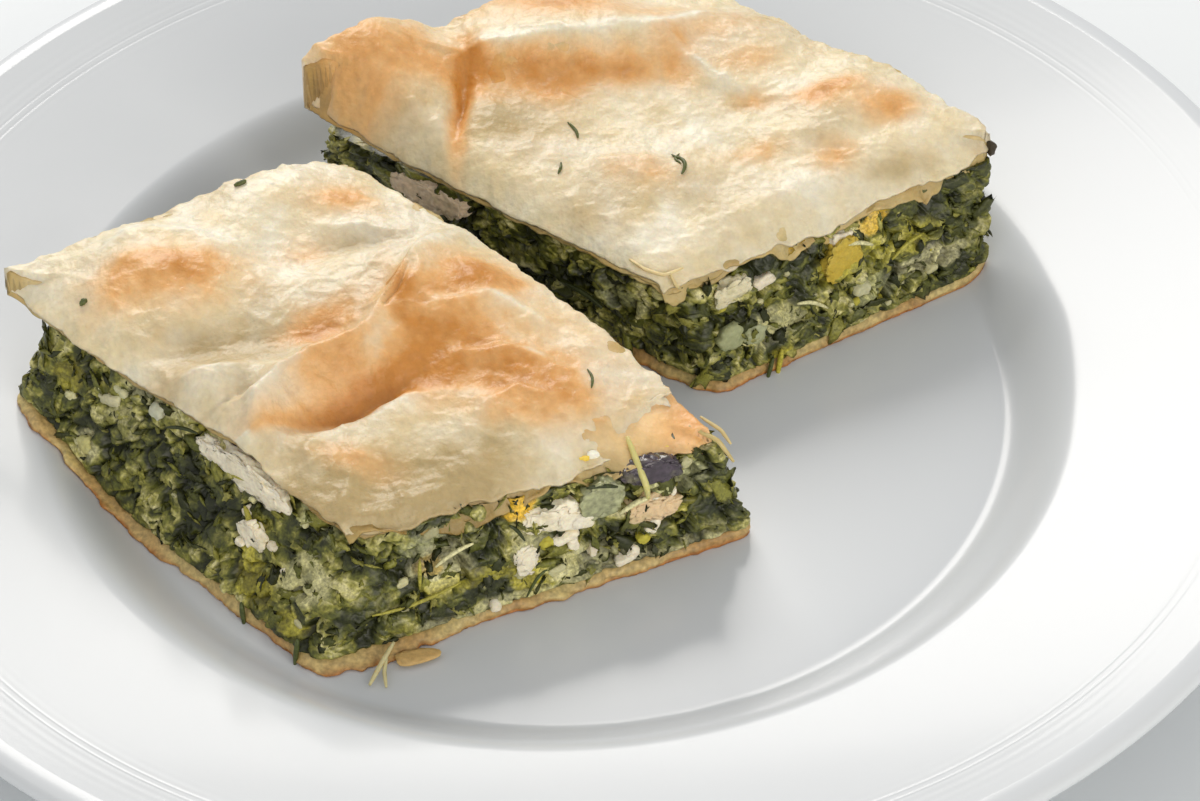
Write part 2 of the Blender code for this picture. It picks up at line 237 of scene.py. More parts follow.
def random_number(cell, seed):
    """A number from 0 to 1 for each whole-number cell, always the same for the same cell: its
    indices are mixed by multiplying and exclusive-or in 32 bits."""
    mixed = cell[..., 0] * 73856093 ^ cell[..., 1] * 19349663
    mixed = mixed ^ cell[..., 2] * 83492791 ^ seed * 2654435761
    mixed &= 0xFFFFFFFF
    for _ in range(2):
        mixed = ((mixed ^ (mixed >> 16)) * 0x45D9F3B) & 0xFFFFFFFF
    return ((mixed ^ (mixed >> 16)) & 0xFFFFFF) / float(0xFFFFFF)


def noise(points, size, seed):
    """Smooth noise from -1 to 1: random numbers at the corners of a cubic lattice of this size,
    blended along each axis with a smoothstep."""
    scaled = points / size
    cell = np.floor(scaled).astype(np.int64)
    blend = scaled - cell
    blend = blend * blend * (3 - 2 * blend)
    total = np.zeros(points.shape[:-1])
    for k in range(8):
        step = np.array([k & 1, k >> 1 & 1, k >> 2 & 1])
        total += np.prod(np.where(step, blend, 1 - blend), -1) * random_number(cell + step, seed)
    return 2 * total - 1


def rough_noise(points, size, seed, layers=4):
    """Layers of noise, each half the size and half the strength of the last."""
    return sum(noise(points, size / 2**k, seed + k) / 2**k for k in range(layers)) * 0.6


def lumps(points, size, seed):
    """Cells around one scattered point in each cube of a lattice. Gives the distance to the
    nearest point and to the next nearest (both in cell sizes), a whole-number name for the
    cell, and the way from its point."""
    scaled = points / size
    home = np.floor(scaled).astype(np.int64)
    nearest = np.full(points.shape[:-1], 9.0)
    second = nearest.copy()
    name = home.copy()
    offset = np.zeros_like(points)
    for k in range(27):
        cell = home + np.array([k % 3 - 1, k // 3 % 3 - 1, k // 9 - 1])
        seat = np.stack([random_number(cell, seed + j) for j in range(3)], -1)
        away = scaled - cell - seat
        distance = np.sqrt((away**2).sum(-1))
        closer = distance < nearest
        second = np.where(closer, nearest, np.minimum(second, distance))
        nearest = np.where(closer, distance, nearest)
        name = np.where(closer[..., None], cell, name)
        offset = np.where(closer[..., None], away, offset)
    return nearest, second, name, offset


def tilted(name, offset, seed):
    """Height of a cell whose face leans its own way: a dot product with a random direction."""
    lean = np.stack([random_number(name, seed + j) for j in range(3)], -1) * 2 - 1
    return (lean * offset).sum(-1)


def rounded_outline(corners, rounding, per_side, per_corner):
    """A ring round four 3-D corners: straight sides, and a quadratic curve round each corner."""
    pieces = []
    for k in range(4):
        here, ahead, after = corners[k], corners[(k + 1) % 4], corners[(k + 2) % 4]
        along = (ahead - here) / np.linalg.norm(ahead - here)
        onward = (after - ahead) / np.linalg.norm(after - ahead)
        t = np.linspace(0, 1, per_side, endpoint=False)[:, None]
        start, end = here + along * rounding, ahead - along * rounding
        pieces.append(start + (end - start) * t)
        t = np.linspace(0, 1, per_corner, endpoint=False)[:, None]
        pieces.append((1 - t) ** 2 * end + 2 * t * (1 - t) * ahead + t**2 * (ahead + onward * rounding))
    return np.concatenate(pieces)


def outward(ring):
    """Level unit vectors that point out of a ring of points."""
    along = np.roll(ring, -1, 0) - np.roll(ring, 1, 0)
    away = np.stack([along[:, 1], -along[:, 0], np.zeros(len(ring))], -1)
    return away / np.linalg.norm(away, axis=-1, keepdims=True)


def spread(value):
    """Turns a smooth bell-shaped number into an even one from 0 to 1, by its rank."""
    order = value.ravel().argsort().argsort()
    return (order / (order.size - 1)).reshape(value.shape)


def blend_colours(value, stops):
    """Colours along a ramp of (place, red, green, blue) stops, blended in straight lines."""
    table = np.array(stops)
    return np.stack([np.interp(value, table[:, 0], table[:, j]) for j in (1, 2, 3)], -1)


def tint(mesh, colours):
    """Stores a colour for each point in the mesh's own colour attribute."""
    layer = mesh.color_attributes.new("tint", "FLOAT_COLOR", "POINT")
    padded = np.concatenate([colours, np.ones((len(colours), 1))], -1)
    layer.data.foreach_set("color", padded.astype(np.float32).ravel())


def tinted_material(name, roughness, mottle_size, mottle):
    """A material coloured by its piece's tint, darkened and lightened by a fine noise."""
    material, tree, shader = shader_material(name, (0.5, 0.5, 0.5), roughness)
    layer = tree.nodes.new("ShaderNodeAttribute")
    layer.attribute_name = "tint"
    grain = object_noise(tree, 1 / (mottle_size * MM), 3.0)
    span = tree.nodes.new("ShaderNodeMapRange")
    span.inputs["From Min"].default_value = 0.3
    span.inputs["From Max"].default_value = 0.7
    span.inputs["To Min"].default_value = 1 - mottle
    span.inputs["To Max"].default_value = 1 + mottle
    shade = tree.nodes.new("ShaderNodeVectorMath")
    shade.operation = "SCALE"
    tree.links.new(grain.outputs["Fac"], span.inputs["Value"])
    tree.links.new(layer.outputs["Color"], shade.inputs[0])
    tree.links.new(span.outputs["Result"], shade.inputs["Scale"])
    tree.links.new(shade.outputs["Vector"], shader.inputs["Base Color"])
    return material, tree, shader


# from wet black-green leaf through mid green to the curd and egg that bind it
SPINACH_RAMP = [
    (0.00, 0.027, 0.031, 0.008), (0.14, 0.060, 0.066, 0.013), (0.32, 0.112, 0.118, 0.020),
    (0.50, 0.170, 0.170, 0.027), (0.66, 0.255, 0.240, 0.045), (0.80, 0.375, 0.346, 0.088),
    (0.92, 0.530, 0.490, 0.190), (1.00, 0.680, 0.625, 0.320),
]
CURD = np.array([0.70, 0.66, 0.36])
YELLOW_GREEN = np.array([0.50, 0.44, 0.05])
EGG = np.array([0.74, 0.46, 0.04])
PALE_ONION = np.array([0.54, 0.54, 0.27])
DARK_LEAF = np.array([0.040, 0.050, 0.013])
# patches of the filling's faces: side (0 left-front, 1 front-right), share along and up, half
# length, half height, colour, strength
PATCHES = {
    "front": [
        (0, 0.81, 0.19, 5.5, 3.5, YELLOW_GREEN, 0.75), (0, 0.20, 0.17, 3.0, 2.4, CURD, 0.8),
        (0, 0.745, 0.42, 3.0, 7.0, YELLOW_GREEN, 0.7), (0, 0.90, 0.86, 4.5, 4.0, PALE_ONION, 0.7),
        (0, 0.93, 0.45, 5.0, 4.0, CURD, 0.55), (0, 0.30, 0.55, 8.0, 5.0, DARK_LEAF, 0.4),
        (0, 0.58, 0.45, 8.0, 6.0, DARK_LEAF, 0.5), (0, 0.09, 0.62, 3.0, 3.5, YELLOW_GREEN, 0.6),
        (0, 0.33, 0.95, 6.0, 2.5, CURD, 0.5), (0, 0.93, 0.10, 4.0, 2.0, YELLOW_GREEN, 0.6),
        (1, 0.10, 0.80, 5.0, 4.0, PALE_ONION, 0.75), (1, 0.20, 0.56, 6.5, 4.5, CURD, 0.8),
        (1, 0.31, 0.62, 3.5, 5.0, DARK_LEAF, 0.7), (1, 0.15, 0.58, 2.4, 2.2, EGG, 0.55),
        (1, 0.47, 0.15, 3.6, 5.0, YELLOW_GREEN, 0.9), (1, 0.38, 0.93, 3.6, 2.6, EGG, 1.0),
        (1, 0.30, 0.36, 12.0, 1.6, YELLOW_GREEN, 0.55), (1, 0.05, 0.30, 5.0, 4.0, DARK_LEAF, 0.6),
        (1, 0.90, 0.78, 5.0, 3.0, PALE_ONION, 0.85), (1, 0.85, 0.45, 5.0, 4.0, YELLOW_GREEN, 0.4),
        (1, 0.98, 0.25, 4.0, 5.0, DARK_LEAF, 0.6), (1, 0.62, 0.22, 9.0, 3.0, CURD, 0.5),
        (1, 0.60, 0.03, 30.0, 1.4, CURD, 0.6), (1, 0.44, 0.52, 5.0, 3.0, CURD, 0.6),
    ],
    "back": [
        (1, 0.48, 0.62, 5.0, 4.5, YELLOW_GREEN, 0.8), (1, 0.61, 0.91, 3.5, 3.0, EGG, 0.7),
        (1, 0.35, 0.98, 4.5, 2.5, EGG, 0.8), (1, 0.84, 0.30, 10.0, 2.6, CURD, 0.85),
        (1, 0.22, 0.30, 6.0, 4.0, CURD, 0.5), (1, 0.70, 0.60, 9.0, 3.5, YELLOW_GREEN, 0.5),
        (1, 0.27, 0.80, 5.0, 4.0, DARK_LEAF, 0.7), (1, 0.96, 0.55, 4.0, 8.0, DARK_LEAF, 0.6),
        (1, 0.20, 0.02, 4.0, 2.0, YELLOW_GREEN, 0.8), (1, 0.60, 0.25, 6.0, 3.0, PALE_ONION, 0.5),
        (0, 0.60, 0.50, 20.0, 6.0, DARK_LEAF, 0.35), (0, 0.86, 0.60, 6.0, 4.0, PALE_ONION, 0.4),
    ],
}

spinach, tree, shader = tinted_material("spinach", 0.42, 0.55, 0.45)
shader.inputs["Specular IOR Level"].default_value = 0.35
shader.inputs["Coat Weight"].default_value = 0.18
shader.inputs["Coat Roughness"].default_value = 0.22
shader.inputs["Subsurface Weight"].default_value = 0.12
shader.inputs["Subsurface Radius"].default_value = (0.7, 0.8, 0.3)
shader.inputs["Subsurface Scale"].default_value = 0.0008
leaf_grain = object_noise(tree, 1100.0, 4.0)
add_bump(tree, shader, leaf_grain, "Fac", 0.5, 0.0003)

BOTTOM_CRUST = 2.3
CRUST_CLEARANCE = 0.3
CORNER_ROUNDING = 4.0
ROWS_UP = 92
PER_SIDE, PER_CORNER = 196, 12
slices = {}


def wall_place(name, side, along, rise):
    """Row and column of a filling's wall at a share along one of its sides and up it."""
    column = side * (PER_SIDE + PER_CORNER) + int(along * PER_SIDE)
    return int(round((1 - rise) * (ROWS_UP - 1))), min(column, 4 * (PER_SIDE + PER_CORNER) - 1)


for seed, name in enumerate(("front", "back")):
    low = corner_points(name + "_filling", -0.8)
    high = corner_points(name + "_filling", 0.8)
    foot = rounded_outline(low, CORNER_ROUNDING, PER_SIDE, PER_CORNER)
    head = rounded_outline(high, CORNER_ROUNDING, PER_SIDE, PER_CORNER)
    foot[:, 2] = plate_height(np.hypot(foot[:, 0], foot[:, 1])) + BOTTOM_CRUST + CRUST_CLEARANCE
    level = np.linspace(1, 0, ROWS_UP)[:, None, None]
    wall = foot + (head - foot) * level
    away = outward(foot)
    flat_wall = wall.copy()
    slices[name] = {"high": high, "foot": foot, "away": away, "flat": flat_wall}
    warp = np.stack([rough_noise(wall, 4.2, 50 + 7 * j + seed, 3) for j in range(3)], -1)
    bent = (wall + 2.0 * warp) * [1, 1, 1.25]
    big_near, big_next, big_name, big_off = lumps(bent, 4.8, 11 + seed)
    near, next_near, small_name, small_off = lumps(bent, 2.5, 31 + seed)
    leafy = rough_noise(bent, 5.0, 60 + seed, 5)
    fine = rough_noise(bent, 1.0, 70 + seed, 3)
    streak = noise(bent + 0.8 * small_off, 0.75, 75)
    gap = np.exp(-(((big_next - big_near) / 0.13) ** 2)) * (rough_noise(wall, 5.0, 77 + seed, 2) > 0.0)
    seam = np.exp(-(((next_near - near) / 0.16) ** 2))
    relief = 1.5 * (random_number(big_name, 5) - 0.5) + 0.9 * tilted(big_name, big_off, 6)
    relief += 0.42 * (random_number(small_name, 9) - 0.5) + 0.38 * tilted(small_name, small_off, 10)
    relief += 0.7 * leafy + 0.15 * fine + 0.06 * streak - 1.5 * gap - 0.25 * seam
    ends = np.clip(np.minimum(level, 1 - level)[..., 0] * 14 + 0.35, 0, 1)
    wall = wall + away * np.clip(relief * ends, -2.6, 1.15)[..., None]
    wall[..., 2] += 0.5 * warp[..., 2] * (ends - 0.35)
    middle_high, middle_low = high.mean(0), low.mean(0)
    middle_high[2] -= 1.0
    inward = 1 - np.linspace(0.97, 0.08, 22)[:, None, None] ** 1.6
    cap = middle_high + (wall[0] - middle_high) * inward
    crust = corner_points(name + "_top_crust", 0.0)
    closeness = 1 / (((cap[..., None, :2] - crust[:, :2]) ** 2).sum(-1) + 20.0)
    room = (closeness * crust[:, 2]).sum(-1) / closeness.sum(-1) - 6.5 - cap[..., 2]
    packed = rough_noise(cap, 3.0, 90 + seed, 4)
    cap[..., 2] += (np.clip(room, 0, 5) + 1.2 * packed) * np.clip((1 - inward[..., 0]) / 0.16, 0, 1) - 0.4
    inward = np.linspace(0.06, 0.99, 6)[:, None, None]
    base = middle_low + (wall[-1] - middle_low) * inward[::-1]
    base[..., 2] = plate_height(np.hypot(base[..., 0], base[..., 1])) + BOTTOM_CRUST + CRUST_CLEARANCE
    mesh = skin(name + "_spinach_filling", np.concatenate([cap, wall, base]))
    pick = 0.55 * (random_number(small_name, 21) - 0.5) + 0.4 * (random_number(big_name, 22) - 0.5)
    pick += 1.15 * leafy + 0.32 * fine + 0.10 * streak + 0.45 * seam * (leafy > -0.1)
    # painted shade: cells sunk deep in the relief and the gaps between the big clumps are coloured darker
    pick = spread(pick) ** 1.25 - 0.25 * (relief < -1.0) - 0.6 * gap
    colour = blend_colours(pick, SPINACH_RAMP)
    ragged = 1 + 0.9 * rough_noise(wall, 3.0, 96, 3)
    for side, along, rise, half_long, half_tall, shade, strength in PATCHES[name]:
        row, column = wall_place(name, side, along, rise)
        gap_xyz = flat_wall - flat_wall[row, column]
        sideways = np.hypot(gap_xyz[..., 0], gap_xyz[..., 1]) / half_long
        reach = sideways**2 + (gap_xyz[..., 2] / half_tall) ** 2
        weight = strength * np.clip((np.exp(-reach) * ragged - 0.30) / 0.25, 0, 1)[..., None]
        lit = 0.55 + 0.9 * pick[..., None]
        colour = colour * (1 - weight) + shade * np.clip(lit, 0.45, 1.1) * weight
    on_top = 0.75 * blend_colours(spread(1.3 * packed) ** 1.25, SPINACH_RAMP)
    beneath = np.broadcast_to(DARK_LEAF * 3, (len(base), *colour.shape[1:]))
    colours = np.concatenate([on_top, colour, beneath]).reshape(-1, 3)
    tint(mesh, np.concatenate([colours, [DARK_LEAF, DARK_LEAF]]))
    slices[name]["wall"] = wall
    place(mesh, spinach, [name + "_filling"])

# The chopped leaves. Torn pieces of wilted spinach, each a thin curled flake a few millimetres
# long, that stand a little out of every cut face. Each is a small closed pillow of two layers.
FLAKE_U, FLAKE_V = 7, 5
FLAKE_POINTS = FLAKE_U * FLAKE_V + (FLAKE_U - 2) * (FLAKE_V - 2)
FLAKES_PER_SLICE = 1000
BROAD_FLAKES = 340


def flakes(centres, normals, lengths, widths, curls, rng):
    """Points of many small curled leaf pieces: for each, a grid from -1 to 1 both ways, drawn in
    towards its ends to a torn oval, bent by a square law along and across, crinkled by a sine,
    and given two layers that meet at the border."""
    count = len(centres)
    a, b = np.meshgrid(np.linspace(-1, 1, FLAKE_U), np.linspace(-1, 1, FLAKE_V), indexing="ij")
    border = (np.abs(a) == 1) | (np.abs(b) == 1)
    torn = 1 + 0.30 * rng.uniform(-1, 1, (count, FLAKE_U, FLAKE_V)) * border
    x = a * torn * lengths[:, None, None] / 2
    y = b * np.sqrt(1 - 0.8 * a**2) * torn * widths[:, None, None] / 2
    phase = rng.uniform(0, 6, (count, 1, 1))
    bend = curls[:, :1, None] * a**2 + curls[:, 1:, None] * b**2 + 0.22 * np.sin(4 * a + 3 * b + phase)
    side = np.cross(normals, rng.normal(size=(count, 3)))
    side /= np.linalg.norm(side, axis=-1, keepdims=True)
    frames = np.stack([side, np.cross(normals, side), normals], 1)
    layers = [np.stack([x, y, bend + sign * 0.13 * ~border], -1) for sign in (1, -1)]
    points = np.einsum("nlijk,nkm->nlijm", np.stack(layers, 1), frames)
    upper = points[:, 0].reshape(count, -1, 3)
    lower = points[:, 1, 1:-1, 1:-1].reshape(count, -1, 3)
    return np.concatenate([upper, lower], 1) + centres[:, None, :]


def grid_quads(index):
    """Quads between the neighbouring points of a grid of point numbers."""
    across = [index[:-1, :-1], index[1:, :-1], index[1:, 1:], index[:-1, 1:]]
    return np.stack(across, -1).reshape(-1, 4)


def flake_faces(count):
    """Quads of every flake: a grid, and under it the same grid turned over that shares the
    border's points and has its own inside."""
    upper = np.arange(FLAKE_U * FLAKE_V).reshape(FLAKE_U, FLAKE_V)
    lower = upper.copy()
    inside = (FLAKE_U - 2) * (FLAKE_V - 2)
    lower[1:-1, 1:-1] = upper.size + np.arange(inside).reshape(FLAKE_U - 2, FLAKE_V - 2)
    both = np.concatenate([grid_quads(upper), grid_quads(lower[::-1])])
    return (both[None] + np.arange(count)[:, None, None] * FLAKE_POINTS).reshape(-1, 4)


leaf, tree, shader = tinted_material("chopped_leaf", 0.44, 0.5, 0.35)
shader.inputs["Specular IOR Level"].default_value = 0.3
shader.inputs["Coat Weight"].default_value = 0.15
shader.inputs["Coat Roughness"].default_value = 0.2
vein = object_noise(tree, 1500.0, 3.0)
add_bump(tree, shader, vein, "Fac", 0.5, 0.0003)

for seed, name in enumerate(slices):
    rng = np.random.default_rng(40 + seed)
    wall, away = slices[name]["wall"], slices[name]["away"]
    count = FLAKES_PER_SLICE
    row = rng.integers(3, ROWS_UP - 2, count)
    column = rng.integers(0, wall.shape[1], count)
    seat = wall[row, column] + away[column] * rng.uniform(-0.35, 0.2, (count, 1))
    normal = away[column] + rng.normal(0, 0.30, (count, 3))
    normal /= np.linalg.norm(normal, axis=-1, keepdims=True)
    broad = np.arange(count) < BROAD_FLAKES
    length = np.where(broad, rng.uniform(2.6, 7.0, count), rng.uniform(1.4, 4.2, count))
    width = length * np.where(broad, rng.uniform(0.22, 0.65, count), rng.uniform(0.10, 0.30, count))
    curl = rng.uniform(-0.8, 0.1, (count, 2)) * (length / 4)[:, None]
    points = flakes(seat, normal, length, width, curl, rng)
    mesh = surface(name + "_chopped_leaves", points.reshape(-1, 3), flake_faces(count))
    pick = rng.uniform(0.0, 0.88, count) ** 1.6
    shade = blend_colours(pick, SPINACH_RAMP) * rng.uniform(0.8, 1.3, (count, 1))
    tint(mesh, np.repeat(shade, FLAKE_POINTS, 0))
    place(mesh, leaf, ())

# The lumps that the knife laid open. Crumbled feta, soft onion and set egg sit in the filling's
# faces, cut off flush with them, each with a torn outline and broken along small flat facets.
FETA = np.array([0.98, 0.87, 0.66])
LUMP_FINISH = {
    "front_feta_slab": FETA, "front_feta_crumb": FETA, "front_feta_middle": FETA * 1.02,
    "front_feta_sliver": FETA, "front_feta_tan": np.array([0.82, 0.60, 0.35]),
    "back_feta_slab": np.array([0.88, 0.68, 0.48]), "back_feta_crumb": np.array([0.80, 0.72, 0.48]),
    "back_egg_yolk": np.array([0.58, 0.42, 0.05]), "front_onion_clear": np.array([0.38, 0.39, 0.21]),
    "front_onion_purple": np.array([0.062, 0.044, 0.060]),
}


def unit_ball(steps):
    """Points and faces of a sphere made of equal triangles."""
    work = bmesh.new()
    bmesh.ops.create_icosphere(work, subdivisions=steps, radius=1.0)
    points = np.array([vert.co[:] for vert in work.verts])
    faces = np.array([[vert.index for vert in face.verts] for face in work.faces])
    work.free()
    return points, faces


def broken_lump(ball, reach, axes, middle, seed, roughness, flush=None):
    """A broken piece of cheese: a rounded block of these half sizes, torn by a warp, with facets
    that lean their own ways and cracks between them. With flush (a point on the cut face and the
    way out of it) what stands out past that face is pressed back almost to it."""
    shape = np.sign(ball) * np.abs(ball) ** 0.72 * reach
    shifted = shape + 40.0 * seed
    tear = np.stack([rough_noise(shifted, 4.2, 600 + 5 * j, 3) for j in range(3)], -1)
    shape = shape * (1 + 0.42 * roughness * tear)
    near, after, cell, offset = lumps(shifted, 2.1, 60 + seed)
    facets = 0.55 * (random_number(cell, 3) - 0.6) + 0.5 * tilted(cell, offset, 4)
    facets -= 0.4 * np.exp(-(((after - near) / 0.1) ** 2))
    facets += 0.22 * rough_noise(shifted, 1.0, 70 + seed, 3)
    points = (shape + ball * facets[:, None] * roughness * min(1.0, reach.min() / 2.0)) @ axes + middle
    if flush is not None:
        face_point, way = flush
        out = (points - face_point) @ way
        limit = 0.75 + 0.5 * rough_noise(points, 1.6, 690, 3)
        points = points - np.clip(out - limit, 0, None)[:, None] * 0.85 * way
    return points


def node_frame(node):
    """The middle, axes and half sizes of a CAD lump: the axes are its points' principal ones."""
    points = node_points(node)
    middle = points.mean(0)
    axes = np.linalg.svd(points - middle)[2]
    reach = np.abs((points - middle) @ axes.T).max(0)
    return middle, axes, reach


def nearest_face(name, point):
    """The nearest place of a filling's unbroken wall, and the way out of it."""
    wall = slices[name]["flat"]
    row, column = np.unravel_index(((wall - point) ** 2).sum(-1).argmin(), wall.shape[:2])
    return wall[row, column], slices[name]["away"][column]


cheese, tree, shader = tinted_material("feta_cheese", 0.60, 0.8, 0.12)
shader.inputs["Subsurface Weight"].default_value = 0.3
shader.inputs["Subsurface Radius"].default_value = (0.9, 0.7, 0.45)
shader.inputs["Subsurface Scale"].default_value = 0.0012
crumbly = object_noise(tree, 1200.0, 4.0)
add_bump(tree, shader, crumbly, "Fac", 0.6, 0.0004)
soft_onion, tree, shader = tinted_material("soft_onion", 0.24, 1.2, 0.35)
shader.inputs["Subsurface Weight"].default_value = 0.35
shader.inputs["Subsurface Radius"].default_value = (0.6, 0.7, 0.5)
shader.inputs["Subsurface Scale"].default_value = 0.0015
shader.inputs["Coat Weight"].default_value = 0.4
shader.inputs["Coat Roughness"].default_value = 0.15
fibre = object_noise(tree, 700.0, 2.0)
add_bump(tree, shader, fibre, "Fac", 0.35, 0.0004)

ball, ball_faces = unit_ball(5)
NO_QUADS = np.zeros((0, 4), int)
for seed, (node, colour) in enumerate(LUMP_FINISH.items()):
    name, kind = node.split("_", 1)
    middle, axes, reach = node_frame(node)
    roughness = 0.85 if "onion" in node else 1.1
    points = broken_lump(ball, reach, axes, middle, seed, roughness, nearest_face(name, middle))
    mesh = surface(node + "_shown", points, NO_QUADS, ball_faces)
    stain = np.clip(rough_noise(points, 2.2, 80 + seed, 3) * 1.6 - 0.25, 0, 1)[:, None] * 0.45
    tint(mesh, colour * (1 - stain) + stain * np.array([0.34, 0.33, 0.12]))
    place(mesh, soft_onion if "onion" in node else cheese, [node])

# Small crumbs of feta and curd. They are scattered through both fillings and show as pale bits in
# every face; a few larger ones lie next to the feta lumps.
crumb_ball, crumb_faces = unit_ball(3)
SCATTERED_CRUMBS = 64
# side, share along, share up, half sizes along, out and up, colour
CRUMBS = {
    "front": [
        (1, 0.565, 0.66, 2.6, 2, 2.2, FETA), (1, 0.60, 0.60, 1.8, 2, 1.6, FETA),
        (1, 0.55, 0.50, 2.6, 2, 0.9, FETA),
        (1, 0.575, 0.42, 1.0, 2, 1.4, FETA), (1, 0.63, 0.27, 0.9, 1.5, 1.1, FETA * 0.85),
        (1, 0.735, 0.13, 1.3, 1.5, 1.6, FETA), (1, 0.71, 0.08, 1.9, 1.5, 0.9, FETA),
        (1, 0.80, 0.36, 1.3, 1.5, 1.7, FETA), (1, 0.82, 0.62, 1.6, 1.5, 0.9, FETA),
        (1, 0.86, 0.66, 1.5, 1.5, 0.9, FETA), (1, 0.79, 0.64, 1.2, 1.5, 0.8, FETA * 0.95),
        (1, 0.625, 0.80, 1.3, 1.5, 2.2, np.array([0.70, 0.58, 0.34])),
        (1, 0.385, 0.01, 1.2, 1.2, 0.8, FETA),
        (0, 0.22, 0.70, 3.0, 1.5, 1.6, np.array([0.62, 0.58, 0.36])),
        (0, 0.24, 0.83, 1.5, 1.2, 1.0, np.array([0.60, 0.58, 0.34])),
        (0, 0.36, 0.86, 1.4, 1.2, 1.8, np.array([0.60, 0.60, 0.44])),
        (0, 0.20, 0.16, 1.9, 1.4, 1.7, np.array([0.58, 0.54, 0.22])),
        (0, 0.705, 0.60, 1.2, 1.5, 1.0, FETA), (0, 0.72, 0.38, 1.0, 1.5, 0.9, FETA),
        (0, 0.60, 0.985, 1.2, 1.0, 0.8, np.array([0.10, 0.05, 0.05])),
        (0, 0.655, 0.97, 1.9, 1.0, 0.8, np.array([0.26, 0.11, 0.10])),
        (0, 0.70, 0.93, 0.9, 1.3, 1.7, np.array([0.02, 0.022, 0.018])),
        (0, 0.81, 0.50, 1.0, 1.2, 0.8, FETA * 0.8), (0, 0.865, 0.40, 0.6, 1.0, 0.5, FETA),
    ],
    "back": [
        (1, 0.51, 0.85, 3.0, 1.5, 1.6, FETA * 0.9), (1, 0.22, 0.74, 2.0, 1.5, 1.4, FETA * 0.85),
        (1, 0.55, 0.30, 2.0, 1.5, 1.4, np.array([0.58, 0.56, 0.34])),
        (1, 0.05, 0.35, 3.0, 1.5, 2.4, np.array([0.40, 0.42, 0.22])),
        (1, 0.13, 0.30, 2.6, 1.5, 2.6, np.array([0.44, 0.46, 0.26])),
    ],
}
for seed, name in enumerate(slices):
    rng = np.random.default_rng(140 + seed)
    flat_wall, wall, away = slices[name]["flat"], slices[name]["wall"], slices[name]["away"]
    listed = list(CRUMBS[name])
    for _ in range(SCATTERED_CRUMBS):
        size = rng.uniform(0.35, 1.15)
        if rng.random() < 0.75:
            pale = CURD * rng.uniform(0.6, 1.1)
        else:
            pale = YELLOW_GREEN * rng.uniform(0.8, 1.2)
        spot = (rng.integers(0, 4), rng.uniform(0.02, 0.98), rng.uniform(0.05, 0.93))
        listed.append((*spot, size * 1.3, size, size, pale))
    points, shades = [], []
    for k, (side, along, rise, half_long, half_out, half_tall, shade) in enumerate(listed):
        row, column = wall_place(name, side, along, rise)
        way = away[column]
        axes = np.array([np.cross([0, 0, 1.0], way), way, [0, 0, 1.0]])
        seat = flat_wall[row, column] if k < len(CRUMBS[name]) else wall[row, column]
        reach = np.array([half_long, half_out, half_tall], float)
        turn = rng.uniform(-0.5, 0.5)
        c, w = math.cos(turn), math.sin(turn)
        axes[[0, 2]] = [axes[0] * c + axes[2] * w, axes[2] * c - axes[0] * w]
        middle = seat - way * 0.4
        points.append(broken_lump(crumb_ball, reach, axes, middle, 20 + k, 1.1, (seat, way)))
        shades.append(np.broadcast_to(shade, points[-1].shape))
    count = len(crumb_ball)
    faces = np.concatenate([crumb_faces + k * count for k in range(len(points))])
    mesh = surface(name + "_small_crumbs", np.concatenate(points), NO_QUADS, faces)
    tint(mesh, np.concatenate(shades))
    place(mesh, cheese, ())

# The bottom crusts. A few sheets of filo baked thin and crisp under the filling, browned below,
# with a ragged, flaky border that lies on the plate and stands out a little past the filling.
filo_base, tree, shader = tinted_material("browned_filo_base", 0.5, 0.9, 0.3)
shader.inputs["Coat Weight"].default_value = 0.12
base_grain = object_noise(tree, 900.0, 4.0)
add_bump(tree, shader, base_grain, "Fac", 0.6, 0.0004)
# share of the way from the filling's foot to the border, and height
BORDER_STEPS = [
    (0.2, 1.25), (0.7, 1.0), (0.95, 0.62), (1.0, 0.45), (1.0, 0.2), (0.8, 0.0), (0.1, 0.0),
]

